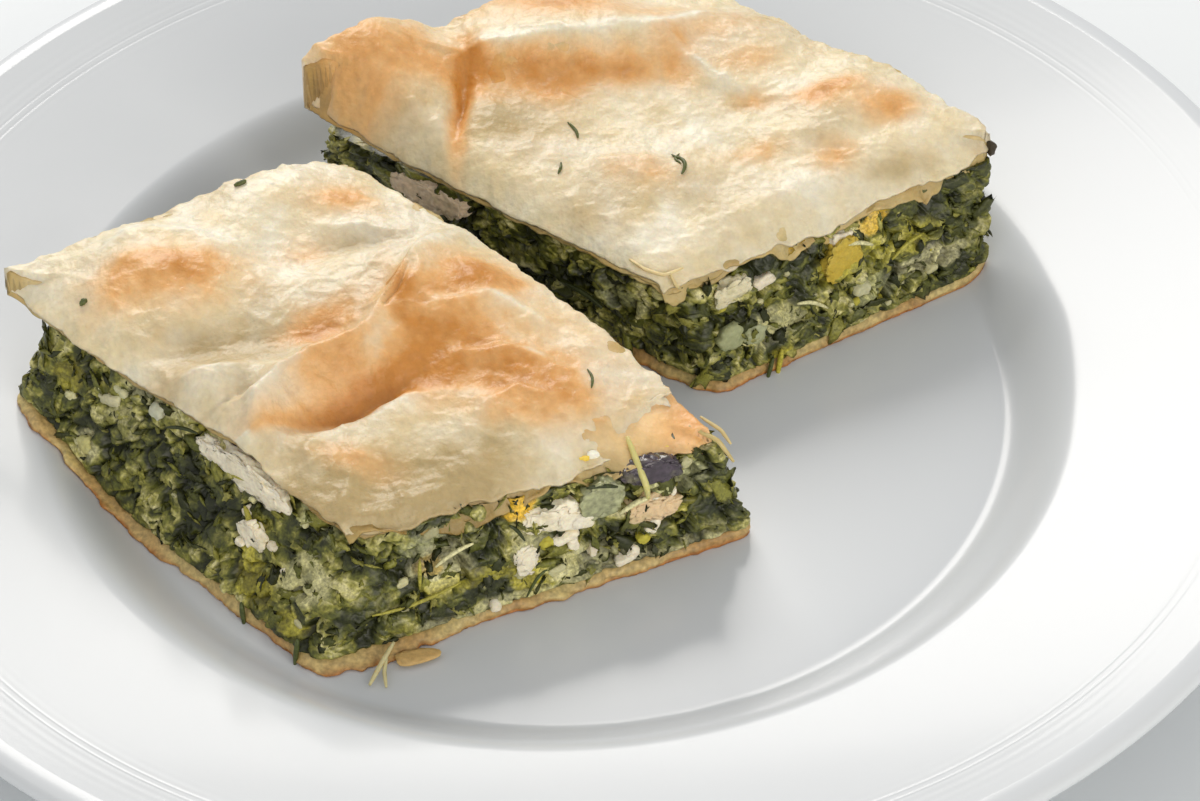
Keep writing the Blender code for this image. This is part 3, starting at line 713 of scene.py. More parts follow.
for seed, name in enumerate(slices):
    ring = slices[name]["foot"]
    away = outward(ring)
    middle = ring.mean(0)
    column = np.arange(len(ring))
    flaked = 0.25 + 1.1 * rough_noise(ring, 13.0, 200 + seed, 2)
    flaked = flaked + 1.0 * rough_noise(ring, 3.0, 210 + seed, 4)
    if name == "front":
        flaked += 1.5 * np.exp(-(((column - 0.28 * PER_SIDE) / 60.0) ** 2))
        corner_flake = PER_SIDE + PER_CORNER + 0.13 * PER_SIDE
        rough = 0.8 + rough_noise(ring, 3.0, 7, 3)
        flaked += 2.6 * np.exp(-(((column - corner_flake) / 20.0) ** 2)) * rough
    edge = ring + away * np.clip(flaked, 0.0, 4.6)[:, None]
    thick = 0.85 + 0.8 * rough_noise(ring, 7.0, 220 + seed, 2)
    rings, heights = [], []
    for share, height in ((0.2, 2.2), (0.85, 2.2), (0.985, 2.1)):
        rings.append(middle + (ring - middle) * share)
        heights.append(np.full(len(ring), height))
    for share, height in BORDER_STEPS:
        flaky = 0.4 * rough_noise(ring + 9.0 * height, 2.4, 250 + seed, 3)
        rings.append(ring + (edge - ring) * share + away * (flaky * (height > 0))[:, None])
        dimpled = 0.25 * rough_noise(rings[-1], 1.8, 240 + seed, 2)
        heights.append(thick * height + dimpled * (height > 0))
    for share in (0.85, 0.2):
        rings.append(middle + (ring - middle) * share)
        heights.append(0 * thick)
    stack = np.stack(rings)
    ground = plate_height(np.hypot(stack[..., 0], stack[..., 1])) + 0.12
    stack[..., 2] = ground + np.clip(np.stack(heights), 0, 3)
    mesh = skin(name + "_filo_base", stack)
    brown = np.clip(0.45 + 0.8 * rough_noise(stack, 8.0, 230 + seed, 4), 0, 1)
    under = np.clip(1.1 - (stack[..., 2] - ground) / 0.75, 0, 1)
    brown = np.clip(0.60 * brown + 0.85 * under, 0, 1)[..., None]
    colours = (1 - brown) * np.array([0.64, 0.50, 0.20]) + brown * np.array([0.44, 0.165, 0.03])
    tint(mesh, np.concatenate([colours.reshape(-1, 3), colours[0, :2]]))
    place(mesh, filo_base, [name + "_bottom_crust"])

# The top crusts. Buttered filo baked in the tray: the loose top sheet has puffed into domes and
# long pleats that browned where they stand high, and its cut border droops on the filling.


def shares(corners, u, v):
    """Bilinear blending of corner values in the order L, F, R, B over u (L to F), v (L to B)."""
    u, v = u[..., None], v[..., None]
    left, front, right_corner, rear = corners
    return left * (1 - u) * (1 - v) + front * u * (1 - v) + right_corner * u * v + rear * (1 - u) * v


def bell(x, y, place_xy, along, across, degrees):
    """A bell with its own length, width and direction."""
    turn = math.radians(degrees)
    p = (x - place_xy[0]) * math.cos(turn) + (y - place_xy[1]) * math.sin(turn)
    q = -(x - place_xy[0]) * math.sin(turn) + (y - place_xy[1]) * math.cos(turn)
    return np.exp(-((p / along) ** 2) - (q / across) ** 2)


def pleat(x, y, path, sharpness=1.5):
    """A pleat along a bent line of (x, y, height, left width, right width): at the nearest place
    of the line it has the blended height and widths, and it falls off to each side as a bell
    that is sharper than round."""
    nearest = np.full(x.shape, 1e9)
    height = np.zeros(x.shape)
    for start, end in zip(path, path[1:]):
        s, e = np.array(start), np.array(end)
        dx, dy = e[0] - s[0], e[1] - s[1]
        length = math.hypot(dx, dy)
        t = np.clip(((x - s[0]) * dx + (y - s[1]) * dy) / length**2, 0, 1)
        gap_x, gap_y = x - s[0] - t * dx, y - s[1] - t * dy
        distance = np.hypot(gap_x, gap_y)
        left = (dx * gap_y - dy * gap_x) / length
        top = s[2] + (e[2] - s[2]) * t
        width = np.where(left > 0, s[3] + (e[3] - s[3]) * t, s[4] + (e[4] - s[4]) * t)
        closer = distance < nearest
        height = np.where(closer, top * np.exp(-((distance / width) ** sharpness)), height)
        nearest = np.where(closer, distance, nearest)
    return height


WAVE = [(-18, 6, 1.5, 8, 4), (-21.5, 0, 5.0, 9, 2.8), (-24.5, -5, 6.2, 9, 2.2), (-26.5, -11, 6.4, 9, 2.2),
        (-29.5, -17, 6.0, 8, 2.6), (-32.5, -21.5, 6.6, 6.5, 3.2), (-37, -24.0, 7.4, 6.0, 3.8),
        (-42, -26.0, 7.4, 6, 3.8), (-46.5, -29.5, 6.4, 5, 3.4), (-51, -35.5, 4.6, 4, 3.2),
        (-53.5, -40, 2.5, 3, 3)]
TROUGH = [(-52, -40.5, -0.5, 2, 2), (-43, -38, -2.6, 5, 2.0), (-36, -35.5, -3.4, 5.5, 2.0),
          (-29, -32, -3.0, 5.5, 2.0), (-23.5, -28, -1.2, 3, 2.5)]
SHOULDER = [(-40, -40.5, 0.6, 1.6, 4), (-33, -36.3, 1.2, 1.8, 5), (-26.4, -33.8, 1.5, 2.2, 6),
            (-20, -32.5, 1.3, 2.2, 6), (-13, -32.5, 0.7, 2.2, 5)]
BACK_RIDGE = [(-17, 52.5, 2.0, 6, 2.6), (-11, 52.3, 4.4, 8, 3.0), (-3, 52.8, 5.0, 8, 3.2),
              (6, 53.8, 5.0, 8, 3.4), (13, 55.4, 4.6, 7, 3.4), (20, 57.4, 3.0, 5, 3.2),
              (27, 61, 1.0, 4, 3)]
# domes, browned, dry and oily patches: place, half length, half width, direction, strength;
# pleats, light and dark lines: see pleat(). The dry patches are partly painted highlight, the
# oily ones partly painted shade; the light lines are painted highlight along the crests and the
# dark lines painted shade along the troughs and creases.
CRUSTS = {
    "front": {
        "domes": [
            ((-12, -17), 21, 16, -47, 4.6), ((-68, -4), 13, 9.5, 8, 4.6), ((-50, 17), 12, 7, 35, 3.2),
            ((-40, -15), 9, 5, 35, -1.4), ((-12.5, -8.5), 5, 4, -30, 1.3), ((0, -31), 8, 6, -30, 1.6),
            ((10, -23), 7, 5, -20, 1.2), ((6.5, -21), 3.5, 3, 0, 0.8), ((-45, 2), 8, 4, 10, -1.0),
            ((-60, -20), 11, 4.5, 18, -2.2), ((-88, -4), 7, 5, 20, -1.4), ((-37, 16), 6, 4, 0, 1.2),
            ((-8, -38), 12, 5, 15, 1.2), ((-31, -51), 7, 4, 10, -1.4), ((-2, -24), 5, 8, 10, -0.9),
            ((-35, 5), 8, 2.2, 10, -1.3),
        ],
        "pleats": [
            WAVE, TROUGH, SHOULDER,
            [(-64.5, -30, 2.2, 2.4, 2.4), (-57, -28, 2.4, 2.4, 2.4), (-49, -25.5, 1.2, 2.6, 2.6)],
            [(-60, -34, -1.2, 1.1, 1.1), (-54, -31.5, -1.6, 1.2, 1.2), (-49, -30.5, -0.6, 1.2, 1.2)],
            [(-79, 1, 0.5, 3, 2.5), (-72, 4.6, 1.3, 3, 2.2), (-65, 5, 1.4, 3, 2.2),
             (-58, 2, 0.7, 3, 2.2)],
            [(-41, 8.5, 0.8, 2.2, 1.8), (-34, 9, 1.4, 2.2, 1.6), (-26, 7, 0.8, 2.2, 1.8)],
            [(-20, -16, 1.0, 1.6, 2.6), (-11, -14, 1.3, 1.4, 2.4), (-3, -17, 0.7, 1.5, 2)],
            [(-17, -26, 0.9, 1.5, 2.8), (-10, -24.5, 1.3, 1.4, 2.6), (-3, -26, 1.0, 1.4, 2.4),
             (2, -29, 0.6, 1.4, 2)],
            [(-12, -36, 0.8, 1.6, 2.2), (-6, -33, 1.1, 1.5, 2.2), (0, -35.5, 0.9, 1.5, 2.2),
             (3, -39, 0.5, 1.5, 2)],
            [(-28.4, -17, -1.4, 0.8, 0.9), (-26, -12, -1.5, 0.8, 0.9), (-24.6, -7.5, -0.8, 0.8, 0.9)],
            [(-33, -49, 0.6, 1.2, 1.4), (-35, -56, 1.2, 1.2, 1.4), (-37, -60, 1.0, 1.2, 1.2)],
            [(-27, -50, 0.5, 1.2, 1.4), (-26, -55, 1.0, 1.2, 1.4), (-25, -59, 1.0, 1.2, 1.2)],
            [(-41, -47, 0.6, 1.2, 1.2), (-45, -49, 0.9, 1.2, 1.2)],
        ],
        "browned": [
            ((-38, -23.5), 12, 3.2, 36, 0.42), ((-28, -53), 14, 4.5, 8, -0.10),
            ((-13, -8), 7, 4.5, -20, 0.75), ((-18, -14), 8, 6, -50, 0.45),
            ((-8, -29), 12, 6.5, -10, 0.66),
            ((1, -34), 5, 4, 0, 0.45), ((-31, -31), 10, 3.6, 26, 0.95), ((-24, -22), 6, 8, -20, 0.55),
            ((-7, -21), 19, 12, -32, 0.30),
            ((-38, -27), 8, 3.0, 30, 0.42), ((-37.5, -11.5), 6.5, 4.4, 25, 0.8),
            ((-43, -16.5), 5, 3.2, 20, 0.72),
            ((-66, -4.5), 12, 4.6, 4, 0.85), ((-74, -10), 6, 4, 10, 0.40), ((-62, -10), 8, 4, 0, 0.35),
            ((-45, 3), 5, 2.8, 10, 0.38), ((-37.5, 15.5), 5.5, 3.5, 0, 0.5),
            ((-26.5, -11), 2.5, 9, 15, 0.7),
            ((-35, -45), 9, 3, -20, 0.38), ((-7, -38.5), 7, 2.4, 0, 0.35), ((-20, -30), 6, 4, 0, 0.35),
        ],
        # dry patches: whiter dry dough, partly painted highlight; the negative one at the drooping front
        # corner dulls it as painted shade
        "dry_and_painted_light": [
            ((-28, -53), 17, 5, 8, -1.8), ((-48, -34), 7, 5, 35, 1.2), ((-62, -30), 8, 2.5, 20, 0.8),
            ((-30, 6), 10, 8, 0, 0.9), ((9, -29), 9, 6, -20, 0.9), ((-50, 0), 9, 8, 0, 0.7),
            ((-3, -44), 10, 3, 15, 0.8), ((4, -22), 8, 4, 0, 0.6), ((-88, -2), 8, 6, 20, 0.6),
            ((-53, 17), 12, 6, 35, 0.8), ((-20, 12), 8, 5, -30, 0.5),
        ],
        # oily patches: olive butter-soaked dough, and partly painted shade in the valley left of the
        # wave, at the drooping front corner and in other soft hollows
        "oil_and_painted_shade": [
            ((-28, -53), 16, 4.6, 8, 2.8), ((-31, -53), 12, 5, 0, 1.3), ((-40, -46), 6, 4, -40, 1.0),
            ((-57, -21), 13, 5.0, 18, 1.2),
            ((-35, 5), 7, 2.0, 10, 0.8), ((-68, -17), 12, 3.5, 0, 0.6), ((-15, -45), 16, 4.5, 15, 0.8),
            ((-66, -30), 8, 3, -40, 0.7), ((-50, -9), 7, 4, 0, 0.6),
            ((-20, 10), 9, 5, -30, 0.4), ((-70, 12), 8, 3, 25, 0.4),
        ],
        # painted highlight: pale lines just along the crests of the wave, the shoulder and the small
        # pleats
        "light": [[(x, y, 0.8 if x > -24 else 0.22, 1.0, 1.3) for x, y, *_ in WAVE],
                  [(x, y, 0.55, 1.2, 1.6) for x, y, *_ in SHOULDER],
                  [(-79, 2, 0.5, 1.8, 1.2), (-72, 5.6, 0.7, 1.8, 1.2), (-65, 6, 0.7, 1.8, 1.2),
                   (-57, 3, 0.5, 1.8, 1.2)],
                  [(-20, -15, 0.5, 1, 1.2), (-11, -13.4, 0.6, 1, 1.2), (-3, -16, 0.4, 1, 1.2)],
                  [(-17, -25, 0.4, 0.9, 1.1), (-10, -23.8, 0.5, 0.9, 1.1), (-3, -25.4, 0.5, 0.9, 1.1)]],
        # painted shade: a darker brown line along the trough in front of the wave
        "painted_crease_shade": [[(x, y + 1.0, 1.0, 3.0, 1.0) for x, y, *_ in TROUGH]],
        "torn": 9.5,
    },
    "back": {
        "domes": [
            ((-34, 54), 12, 11, 60, 5.5), ((4, 63), 24, 9, -5, 4.2), ((-39, 60), 13, 8, 50, 9.5),
            ((-17, 40), 12, 1.8, 88, -2.8),
            ((54, 41), 13, 9, 25, 3.6), ((38, 54), 9, 7, 0, 1.8), ((15, 22), 11, 7, -20, 1.6),
            ((40, 17), 12, 5, 30, 1.4), ((36.5, 43), 5, 3, 0, -0.9), ((56, 33), 8, 2.4, 25, -0.8),
            ((-21, 62), 4, 8, 15, -1.6), ((60, 52), 9, 6, -40, 1.6), ((5, 37), 10, 6, -10, -0.6),
            ((-27, 36), 4, 10, 10, 0.8), ((31, 62), 8, 6, 0, 1.4),
        ],
        "pleats": [
            BACK_RIDGE,
            [(-40, 60, 2.4, 4, 4), (-35, 53, 2.8, 4, 4), (-29, 46, 2.2, 4, 3.4), (-25, 37, 1.4, 3, 2.4)],
            [(21, 56, 1.2, 2.4, 2.4), (28, 50, 1.6, 2.2, 2.2), (35, 45, 0.8, 2.2, 2.2)],
            [(-44, 50, 1.2, 2.6, 2.6), (-40, 43, 2.0, 2.2, 2.4), (-34, 36, 1.4, 2.2, 2.2)],
            [(40, 33, 0.9, 2, 2), (48, 33, 1.1, 2, 2), (56, 30, 0.6, 2, 2)],
            [(8, 26, 0.6, 1.6, 2), (16, 27, 0.9, 1.6, 2.4), (24, 24, 0.5, 1.6, 2)],
        ],
        "browned": [
            ((-38, 60), 15, 6, 46, 0.55), ((3, 49), 20, 3.6, 3, 0.78), ((-15.5, 50), 3.5, 6, 5, 0.85),
            ((-17, 40), 1.6, 13, -2, 0.6),
            ((-35, 45), 9, 8, 50, 0.68), ((2, 64), 20, 6, -5, 0.55), ((50, 42), 6.5, 3.2, 10, 0.72),
            ((61, 38.5), 5.5, 3.2, 10, 0.62), ((37, 52), 5, 3, 0, 0.38), ((36.5, 43), 4, 2.4, 0, 0.45),
            ((15, 23.5), 6, 3.6, 0, 0.46), ((37, 29), 6, 2.6, 20, 0.36), ((51, 28), 5, 3, 20, 0.5),
            ((-26, 52), 5, 7, 20, 0.5), ((-2, 44), 14, 3, 0, 0.36), ((22, 54), 4, 6, 20, 0.45),
            ((31, 60), 8, 5, 0, 0.26),
        ],
        # dry patches: whiter dry dough, partly painted highlight
        "dry_and_painted_light": [
            ((24, 34), 12, 6, 10, 0.9), ((44, 46), 6, 6, 0, 0.7), ((46, 22), 12, 4, 25, 0.8),
            ((18, 9), 7, 4, 25, 0.8), ((5, 30), 8, 5, 0, 0.6), ((30, 58), 6, 5, 0, 0.6),
            ((68, 42), 8, 4, 0, 0.7),
        ],
        # oily patches: olive butter-soaked dough, partly painted shade in soft hollows
        "oil_and_painted_shade": [
            ((8, 18), 10, 6, -40, 0.75), ((26, 20), 7, 5, 0, 0.6), ((-8, 36), 8, 6, -30, 0.85),
            ((-30, 38), 10, 8, -40, 1.0),
            ((62, 26), 9, 2.6, 22, 1.0), ((36.5, 42), 4, 2.2, 0, 0.8), ((78, 33), 6, 4, 0, 0.45),
            ((-8, 42), 10, 3, 0, 0.5), ((50, 34), 8, 2, 20, 0.5), ((31, 62), 8, 4, 0, 0.4),
        ],
        # painted highlight: pale lines along the far side of the back ridge and along a small pleat
        "light": [[(x, y + 0.6, 0.75, 1.6, 1.0) for x, y, *_ in BACK_RIDGE],
                  [(21, 56, 0.5, 1.4, 1.4), (28, 50, 0.6, 1.4, 1.4), (35, 45, 0.4, 1.4, 1.4)]],
        # painted shade: a darker line down the long crease
        "painted_crease_shade": [[(-17, 52, 0.5, 1.2, 1.2), (-17, 42, 0.6, 1.2, 1.2), (-16, 30, 0.35, 1.0, 1.0)]],
        "torn": 0.0,
    },
}
CREAM = np.array([0.82, 0.67, 0.41])
DRY_AND_HIGHLIGHT_DOUGH = np.array([0.90, 0.82, 0.65])
OILY_SHADED_DOUGH = np.array([0.40, 0.285, 0.11])
GOLD = np.array([0.82, 0.46, 0.18])
BROWN = np.array([0.60, 0.25, 0.042])
TOP_SHEET_STEPS = (204, 180)
UNDER_SHEET_STEPS = (150, 130)
LEVEL_OFF = 49.0


def filo_shape(name, drop, outset, torn, skirt, seed, steps):
    """The upper face of one filo sheet of a slice as a grid, its distance from the border, and
    the swayed plan places that its domes, pleats and colours are laid out on. The border is ragged, comes
    down near the filling, and with skirt set hangs down over the filling's front faces. Nothing
    stands much above LEVEL_OFF, where the height is eased off."""
    spec = CRUSTS[name]
    u, v = np.meshgrid(np.linspace(0, 1, steps[0]), np.linspace(0, 1, steps[1]), indexing="ij")
    corners = corner_points(name + "_top_crust", 0.3)
    plan = shares(corners, u, v)
    x, y, z = plan[..., 0], plan[..., 1], plan[..., 2].copy()
    level = np.stack([x, y, np.full(x.shape, 7.0 * seed)], -1)
    sway = 1.3 * np.stack([rough_noise(level, 9.0, 305 + j, 3) for j in range(2)], -1)
    wx, wy = x + sway[..., 0], y + sway[..., 1]
    for path in spec["domes"]:
        z += path[4] * bell(wx, wy, *path[:4])
    for path in spec["pleats"]:
        z += pleat(wx, wy, path)
    wavy = level + 1.8 * np.stack([rough_noise(level, 6.0, 310 + j, 2) for j in range(3)], -1)
    ridged = 1 - np.abs(rough_noise(wavy, 10.0, 320, 3))
    creased = 1 - np.abs(rough_noise(wavy * [1, 1.7, 1], 5.0, 326, 2))
    z += 0.9 * rough_noise(level, 12.0, 330, 3) + 0.5 * (ridged**5 - 0.25) + 0.24 * (creased**6 - 0.2)
    near, _, cell, _ = lumps(wavy, 2.2, 340)
    blister = np.clip(1 - (near / 0.6) ** 2, 0, 1) * (random_number(cell, 8) > 0.6)
    z += 0.10 * blister + 0.09 * rough_noise(level, 1.2, 350, 2) + 0.16 * rough_noise(level, 3.2, 355, 3)
    side_u = np.linalg.norm(corners[1, :2] - corners[0, :2])
    side_v = np.linalg.norm(corners[3, :2] - corners[0, :2])
    to_edge = [u * side_u, (1 - u) * side_u, v * side_v, (1 - v) * side_v]
    along_u = (corners[1, :2] - corners[0, :2]) / side_u
    along_v = (corners[3, :2] - corners[0, :2]) / side_v
    shift = np.zeros((*x.shape, 2))
    for j, (way, gap) in enumerate(zip((-along_u, along_u, -along_v, along_v), to_edge)):
        border = np.stack([x, y, np.full(x.shape, 100.0 * j)], -1)
        fray = 1.0 * rough_noise(border, 16.0, 400 + seed, 2)
        fray = fray + 0.9 * rough_noise(border, 3.0, 410 + seed, 4)
        reach = outset + fray
        if j == 1 and torn:
            reach = reach - torn * np.clip((v - 0.45) / 0.55, 0, 1) ** 1.7 + 0.5 * fray * (v > 0.5)
        if j == 1 and skirt > 2:
            reach = reach + 0.5 + 2.2 * rough_noise(border, 5.5, 415, 2)
        if j == 2 and name == "front":
            reach = reach - 2.6 * np.exp(-(((u - 0.66) / 0.20) ** 2))
        shift += way * (reach * np.exp(-((gap / 8.0) ** 2)))[..., None]
    x, y = x + shift[..., 0], y + shift[..., 1]
    for cu, cv, pull in ((0, 0, 0.6), (1, 0, 1.2), (1, 1, 1.5), (0, 1, 3.0)):
        far = np.exp(-((np.hypot((u - cu) * side_u, (v - cv) * side_v) / 6) ** 2)) * pull / 45
        x, y = x + (plan[..., 0].mean() - x) * far, y + (plan[..., 1].mean() - y) * far
    distance = np.minimum(np.minimum(to_edge[0], to_edge[1]), np.minimum(to_edge[2], to_edge[3]))
    rear = np.minimum(to_edge[0], to_edge[3]) < np.minimum(to_edge[1], to_edge[2])
    filling_z = shares(slices[name]["high"], u, v)[..., 2]
    frill = 0.5 * rough_noise(np.stack([x, y, 0 * x], -1), 5.0, 420 + seed, 3)
    gap_z = z - filling_z - 1.1
    border_z = filling_z + 1.1 + np.where(rear, 0.92, 0.30) * gap_z + frill
    ease = np.sin(np.clip(distance / np.where(rear, 7.0, 8.0), 0, 1) * np.pi / 2)
    top = border_z + (z - border_z) * ease - drop
    hang = skirt * (0.6 + 2.4 * rough_noise(np.stack([x, y, 0 * x], -1), 7.0, 430 + seed, 3))
    top -= np.clip(hang, 0, None) * np.exp(-((to_edge[1] / 1.5) ** 2))
    crinkle = 0.35 * rough_noise(np.stack([x, y, top], -1), 1.9, 440 + seed, 2)
    top += crinkle * np.exp(-((distance / 4.0) ** 2))
    top = np.where(top > LEVEL_OFF, LEVEL_OFF + 3 * np.tanh((top - LEVEL_OFF) / 3), top)
    return np.stack([x, y, top], -1), distance, wx, wy


def sheet_mesh(name, top, thickness):
    """A closed thin sheet from the grid of its upper face: the lower face is the same grid moved
    down by the thickness, and a row of quads joins their borders."""
    count_u, count_v = top.shape[:2]
    lower = top - [0, 0, 1] * thickness[..., None]
    index = np.arange(count_u * count_v).reshape(count_u, count_v)
    quads = grid_quads(index)
    rim = np.concatenate([index[:-1, 0], index[-1, :-1], index[:0:-1, -1], index[0, :0:-1]])
    join = np.stack([rim, rim + index.size, np.roll(rim, -1) + index.size, np.roll(rim, -1)], -1)
    faces = np.concatenate([quads, quads[:, ::-1] + index.size, join])
    return surface(name, np.concatenate([top.reshape(-1, 3), lower.reshape(-1, 3)]), faces)


def crust_colour(name, top, wx, wy, seed, gilt):
    """Cream dough that turns gold and then brown where it stood high and whiter where it stayed dry;
    painted highlight whitens the crests of its pleats and some pale patches, and painted shade
    browns its troughs and creases; it is darker and oilier where butter soaked in and near the
    filling, and that olive tone is also painted shade in soft hollows."""
    spec = CRUSTS[name]
    level = np.stack([wx, wy, np.full(wx.shape, 3.0 * seed)], -1)
    mottled = rough_noise(level, 7.0, 300 + seed, 4) + 0.35 * rough_noise(level, 1.6, 305 + seed, 3)
    amount = {}
    for kind in ("browned", "dry_and_painted_light", "oil_and_painted_shade"):
        amount[kind] = sum(patch[4] * bell(wx, wy, *patch[:4]) for patch in spec[kind])
    # painted highlight: the light lines take brown away here and add whiteness below
    light = sum(pleat(wx, wy, path) for path in spec["light"])
    # painted shade: the dark lines add brown along the troughs and creases
    painted_crease_shade = sum(pleat(wx, wy, path) for path in spec["painted_crease_shade"])
    brown = amount["browned"] * (1 + 0.55 * mottled) + 0.07 * mottled
    brown = np.clip(brown + 0.55 * painted_crease_shade - 0.45 * light + gilt, 0, 1)[..., None]
    # olive oily tone: butter-soaked dough, partly painted shade in soft hollows and near the filling
    oil_and_painted_shade = 0.85 * amount["oil_and_painted_shade"] + 0.10 + 0.55 * rough_noise(level, 10.0, 500, 3)
    oil_and_painted_shade = np.clip(oil_and_painted_shade, 0, 1)[..., None] * 0.8
    # whiteness: dry dough, partly painted highlight, with the light lines' painted highlight added in
    dry_and_painted_light = 0.3 + 0.7 * amount["dry_and_painted_light"] + 0.7 * rough_noise(level, 5.0, 510, 4) + light
    dry_and_painted_light = np.clip(dry_and_painted_light, 0, 1)[..., None]
    oil_and_shade_weight = oil_and_painted_shade * (1 - 0.5 * dry_and_painted_light)
    dough = (CREAM * (1 - dry_and_painted_light) + DRY_AND_HIGHLIGHT_DOUGH * dry_and_painted_light) * (1 - oil_and_shade_weight) + OILY_SHADED_DOUGH * oil_and_shade_weight
    gold = np.clip(brown / 0.55, 0, 1)
    deep = np.clip((brown - 0.5) / 0.5, 0, 1)
    return (dough * (1 - gold) + GOLD * gold) * (1 - deep) + BROWN * deep


filo, tree, shader = tinted_material("baked_filo", 0.42, 1.4, 0.07)
shader.inputs["Subsurface Weight"].default_value = 0.22
shader.inputs["Subsurface Radius"].default_value = (1.0, 0.55, 0.25)
shader.inputs["Subsurface Scale"].default_value = 0.0014
shader.inputs["Coat Weight"].default_value = 0.12
shader.inputs["Coat Roughness"].default_value = 0.3
crackle = object_noise(tree, 600.0, 6.0)
add_bump(tree, shader, crackle, "Fac", 0.7, 0.0006)
pimples = object_noise(tree, 1000.0, 0.0, "ShaderNodeTexVoronoi")
add_bump(tree, shader, pimples, "Distance", 0.3, 0.0002)

# drop below the top sheet, reach past its border, and how far its border hangs
UNDER_SHEETS = [(0.9, 0.2, 2.5), (1.6, -0.2, 1.5)]
tops = {}
for seed, name in enumerate(slices):
    torn = CRUSTS[name]["torn"]
    top, distance, wx, wy = filo_shape(name, 0.0, 0.45, torn, 1.3, seed, TOP_SHEET_STEPS)
    tops[name] = top
    mesh = sheet_mesh(name + "_top_filo", top, 0.4 + 0.35 * np.clip(distance / 6, 0, 1))
    colours = crust_colour(name, top, wx, wy, seed, 0.0).reshape(-1, 3)
    tint(mesh, np.concatenate([colours, colours * 0.8]))
    place(mesh, filo, [name + "_top_crust"])
    for layer, (drop, outset, skirt) in enumerate(UNDER_SHEETS):
        kind = seed + 10 * layer + 5
        under, distance, wx, wy = filo_shape(name, drop, outset, 0.0, skirt, kind, UNDER_SHEET_STEPS)
        near_tear = bell(wx, wy, (24, -35), 11, 8, 30) * (torn > 0)
        under[..., 2] -= 0.25 * np.clip(distance / 5, 0, 1) + 1.2 * near_tear
        mesh = sheet_mesh(name + "_filo_sheet_" + str(layer), under, np.full(distance.shape, 0.3))
        colours = crust_colour(name, under, wx, wy, seed + 3, 0.10 + 0.42 * near_tear)
        worn = 1 + 0.25 * near_tear + 0.28 * rough_noise(under, 4.0, 610, 4)
        # painted shade: near its border each under-sheet is darkened where the top sheet overhangs it,
        # but not at the tear
        lower = (1 - near_tear[..., None]) * np.exp(-((distance[..., None] / 3.0) ** 2))
        hue = [0.94, 0.86, 0.68] + near_tear[..., None] * [0.04, 0.02, 0.16]
        colours = colours * (hue - lower * [0.26, 0.25, 0.32])
        colours = (colours * worn[..., None]).reshape(-1, 3)
        tint(mesh, np.concatenate([colours, colours * 0.8]))
        place(mesh, filo, ())

# Bits on the crusts: threads of dill, two short dark specks, and shreds of pastry and herb that
# hang at the torn edges. Each is a thin closed tube bent along a curve.


def strand(path, radii, sides):
    """Points and quads of a bent tube through the path's points. It is thin at both ends, where
    quads round a middle point close it, so the number of sides is even."""
    path, radii = np.array(path, float), np.array(radii, float)
    along = np.gradient(path, axis=0)
    along /= np.linalg.norm(along, axis=-1, keepdims=True)
    side = np.cross(along, [0.31, 0.17, 0.93])
    side /= np.linalg.norm(side, axis=-1, keepdims=True)
    other = np.cross(along, side)
    angle = np.arange(sides) * 2 * math.pi / sides
    c, w = np.cos(angle)[None, :, None], np.sin(angle)[None, :, None]
    ring = c * side[:, None] + w * other[:, None]
    points = (path[:, None] + ring * radii[:, None, None]).reshape(-1, 3)
    index = np.arange(len(points)).reshape(len(path), sides)
    after = np.roll(index, -1, 1)
    quads = np.stack([index[:-1], after[:-1], after[1:], index[1:]], -1).reshape(-1, 4)
    here, there = index[:, ::2], np.roll(index, -2, 1)[:, ::2]
    tip = np.full(sides // 2, len(points))
    start = np.stack([tip, there[0], after[0, ::2], here[0]], -1)
    end = np.stack([tip + 1, here[-1], after[-1, ::2], there[-1]], -1)
    return np.concatenate([points, path[:1], path[-1:]]), np.concatenate([quads, start, end])


def on_crust(name, x, y):
    """The crust's surface at a place in plan: the nearest point of its grid."""
    top = tops[name].reshape(-1, 3)
    return top[((top[:, :2] - [x, y]) ** 2).sum(-1).argmin()]


def bent_path(start, end, bow, steps):
    """Points from start to end, bowed aside by a half sine."""
    t = np.linspace(0, 1, steps)[:, None]
    return np.array(start) * (1 - t) + np.array(end) * t + np.array(bow) * np.sin(math.pi * t)


def gathered(name, parts, shades, material):
    """Joins many small closed parts into one piece with a colour for each part."""
    points, faces, colours, offset = [], [], [], 0
    for (part, quads), shade in zip(parts, shades):
        points.append(part)
        faces.append(quads + offset)
        colours.append(np.broadcast_to(shade, part.shape))
        offset += len(part)
    mesh = surface(name, np.concatenate(points), np.concatenate(faces))
    tint(mesh, np.concatenate(colours))
    place(mesh, material, ())


DILL = np.array([0.10, 0.12, 0.035])
herb_parts, herb_shades = [], []
for name, x, y, reach_x, reach_y, bow, thick in (
    ("front", 5.2, -28.0, 0.6, -4.2, 0.5, 0.26), ("front", 21.5, -34.5, 0.4, -2.2, 0.3, 0.22),
    ("back", 2.5, 36.5, 1.8, -3.8, 0.5, 0.32), ("back", 21.2, 27.5, 1.6, -5.6, 1.4, 0.38),
    ("back", 22.6, 27.8, 0.2, -3.6, -0.9, 0.26), ("back", 1.2, 25.6, -0.6, -2.6, 0.2, 0.28),
    ("front", -57.0, 17.6, 2.2, 0.6, 0.2, 0.5), ("front", -82.0, -10.6, 1.2, 0.5, 0.1, 0.55),
):
    path = bent_path([x, y, 0], [x + reach_x, y + reach_y, 0], [bow, 0, 0], 9)
    for point in path:
        point[2] = on_crust(name, point[0], point[1])[2] + 0.55 * thick
    herb_parts.append(strand(path, thick * np.sin(np.linspace(0.12, math.pi - 0.12, 9)) ** 0.5, 8))
    herb_shades.append(DILL)
gathered("dill_threads", herb_parts, herb_shades, leaf)

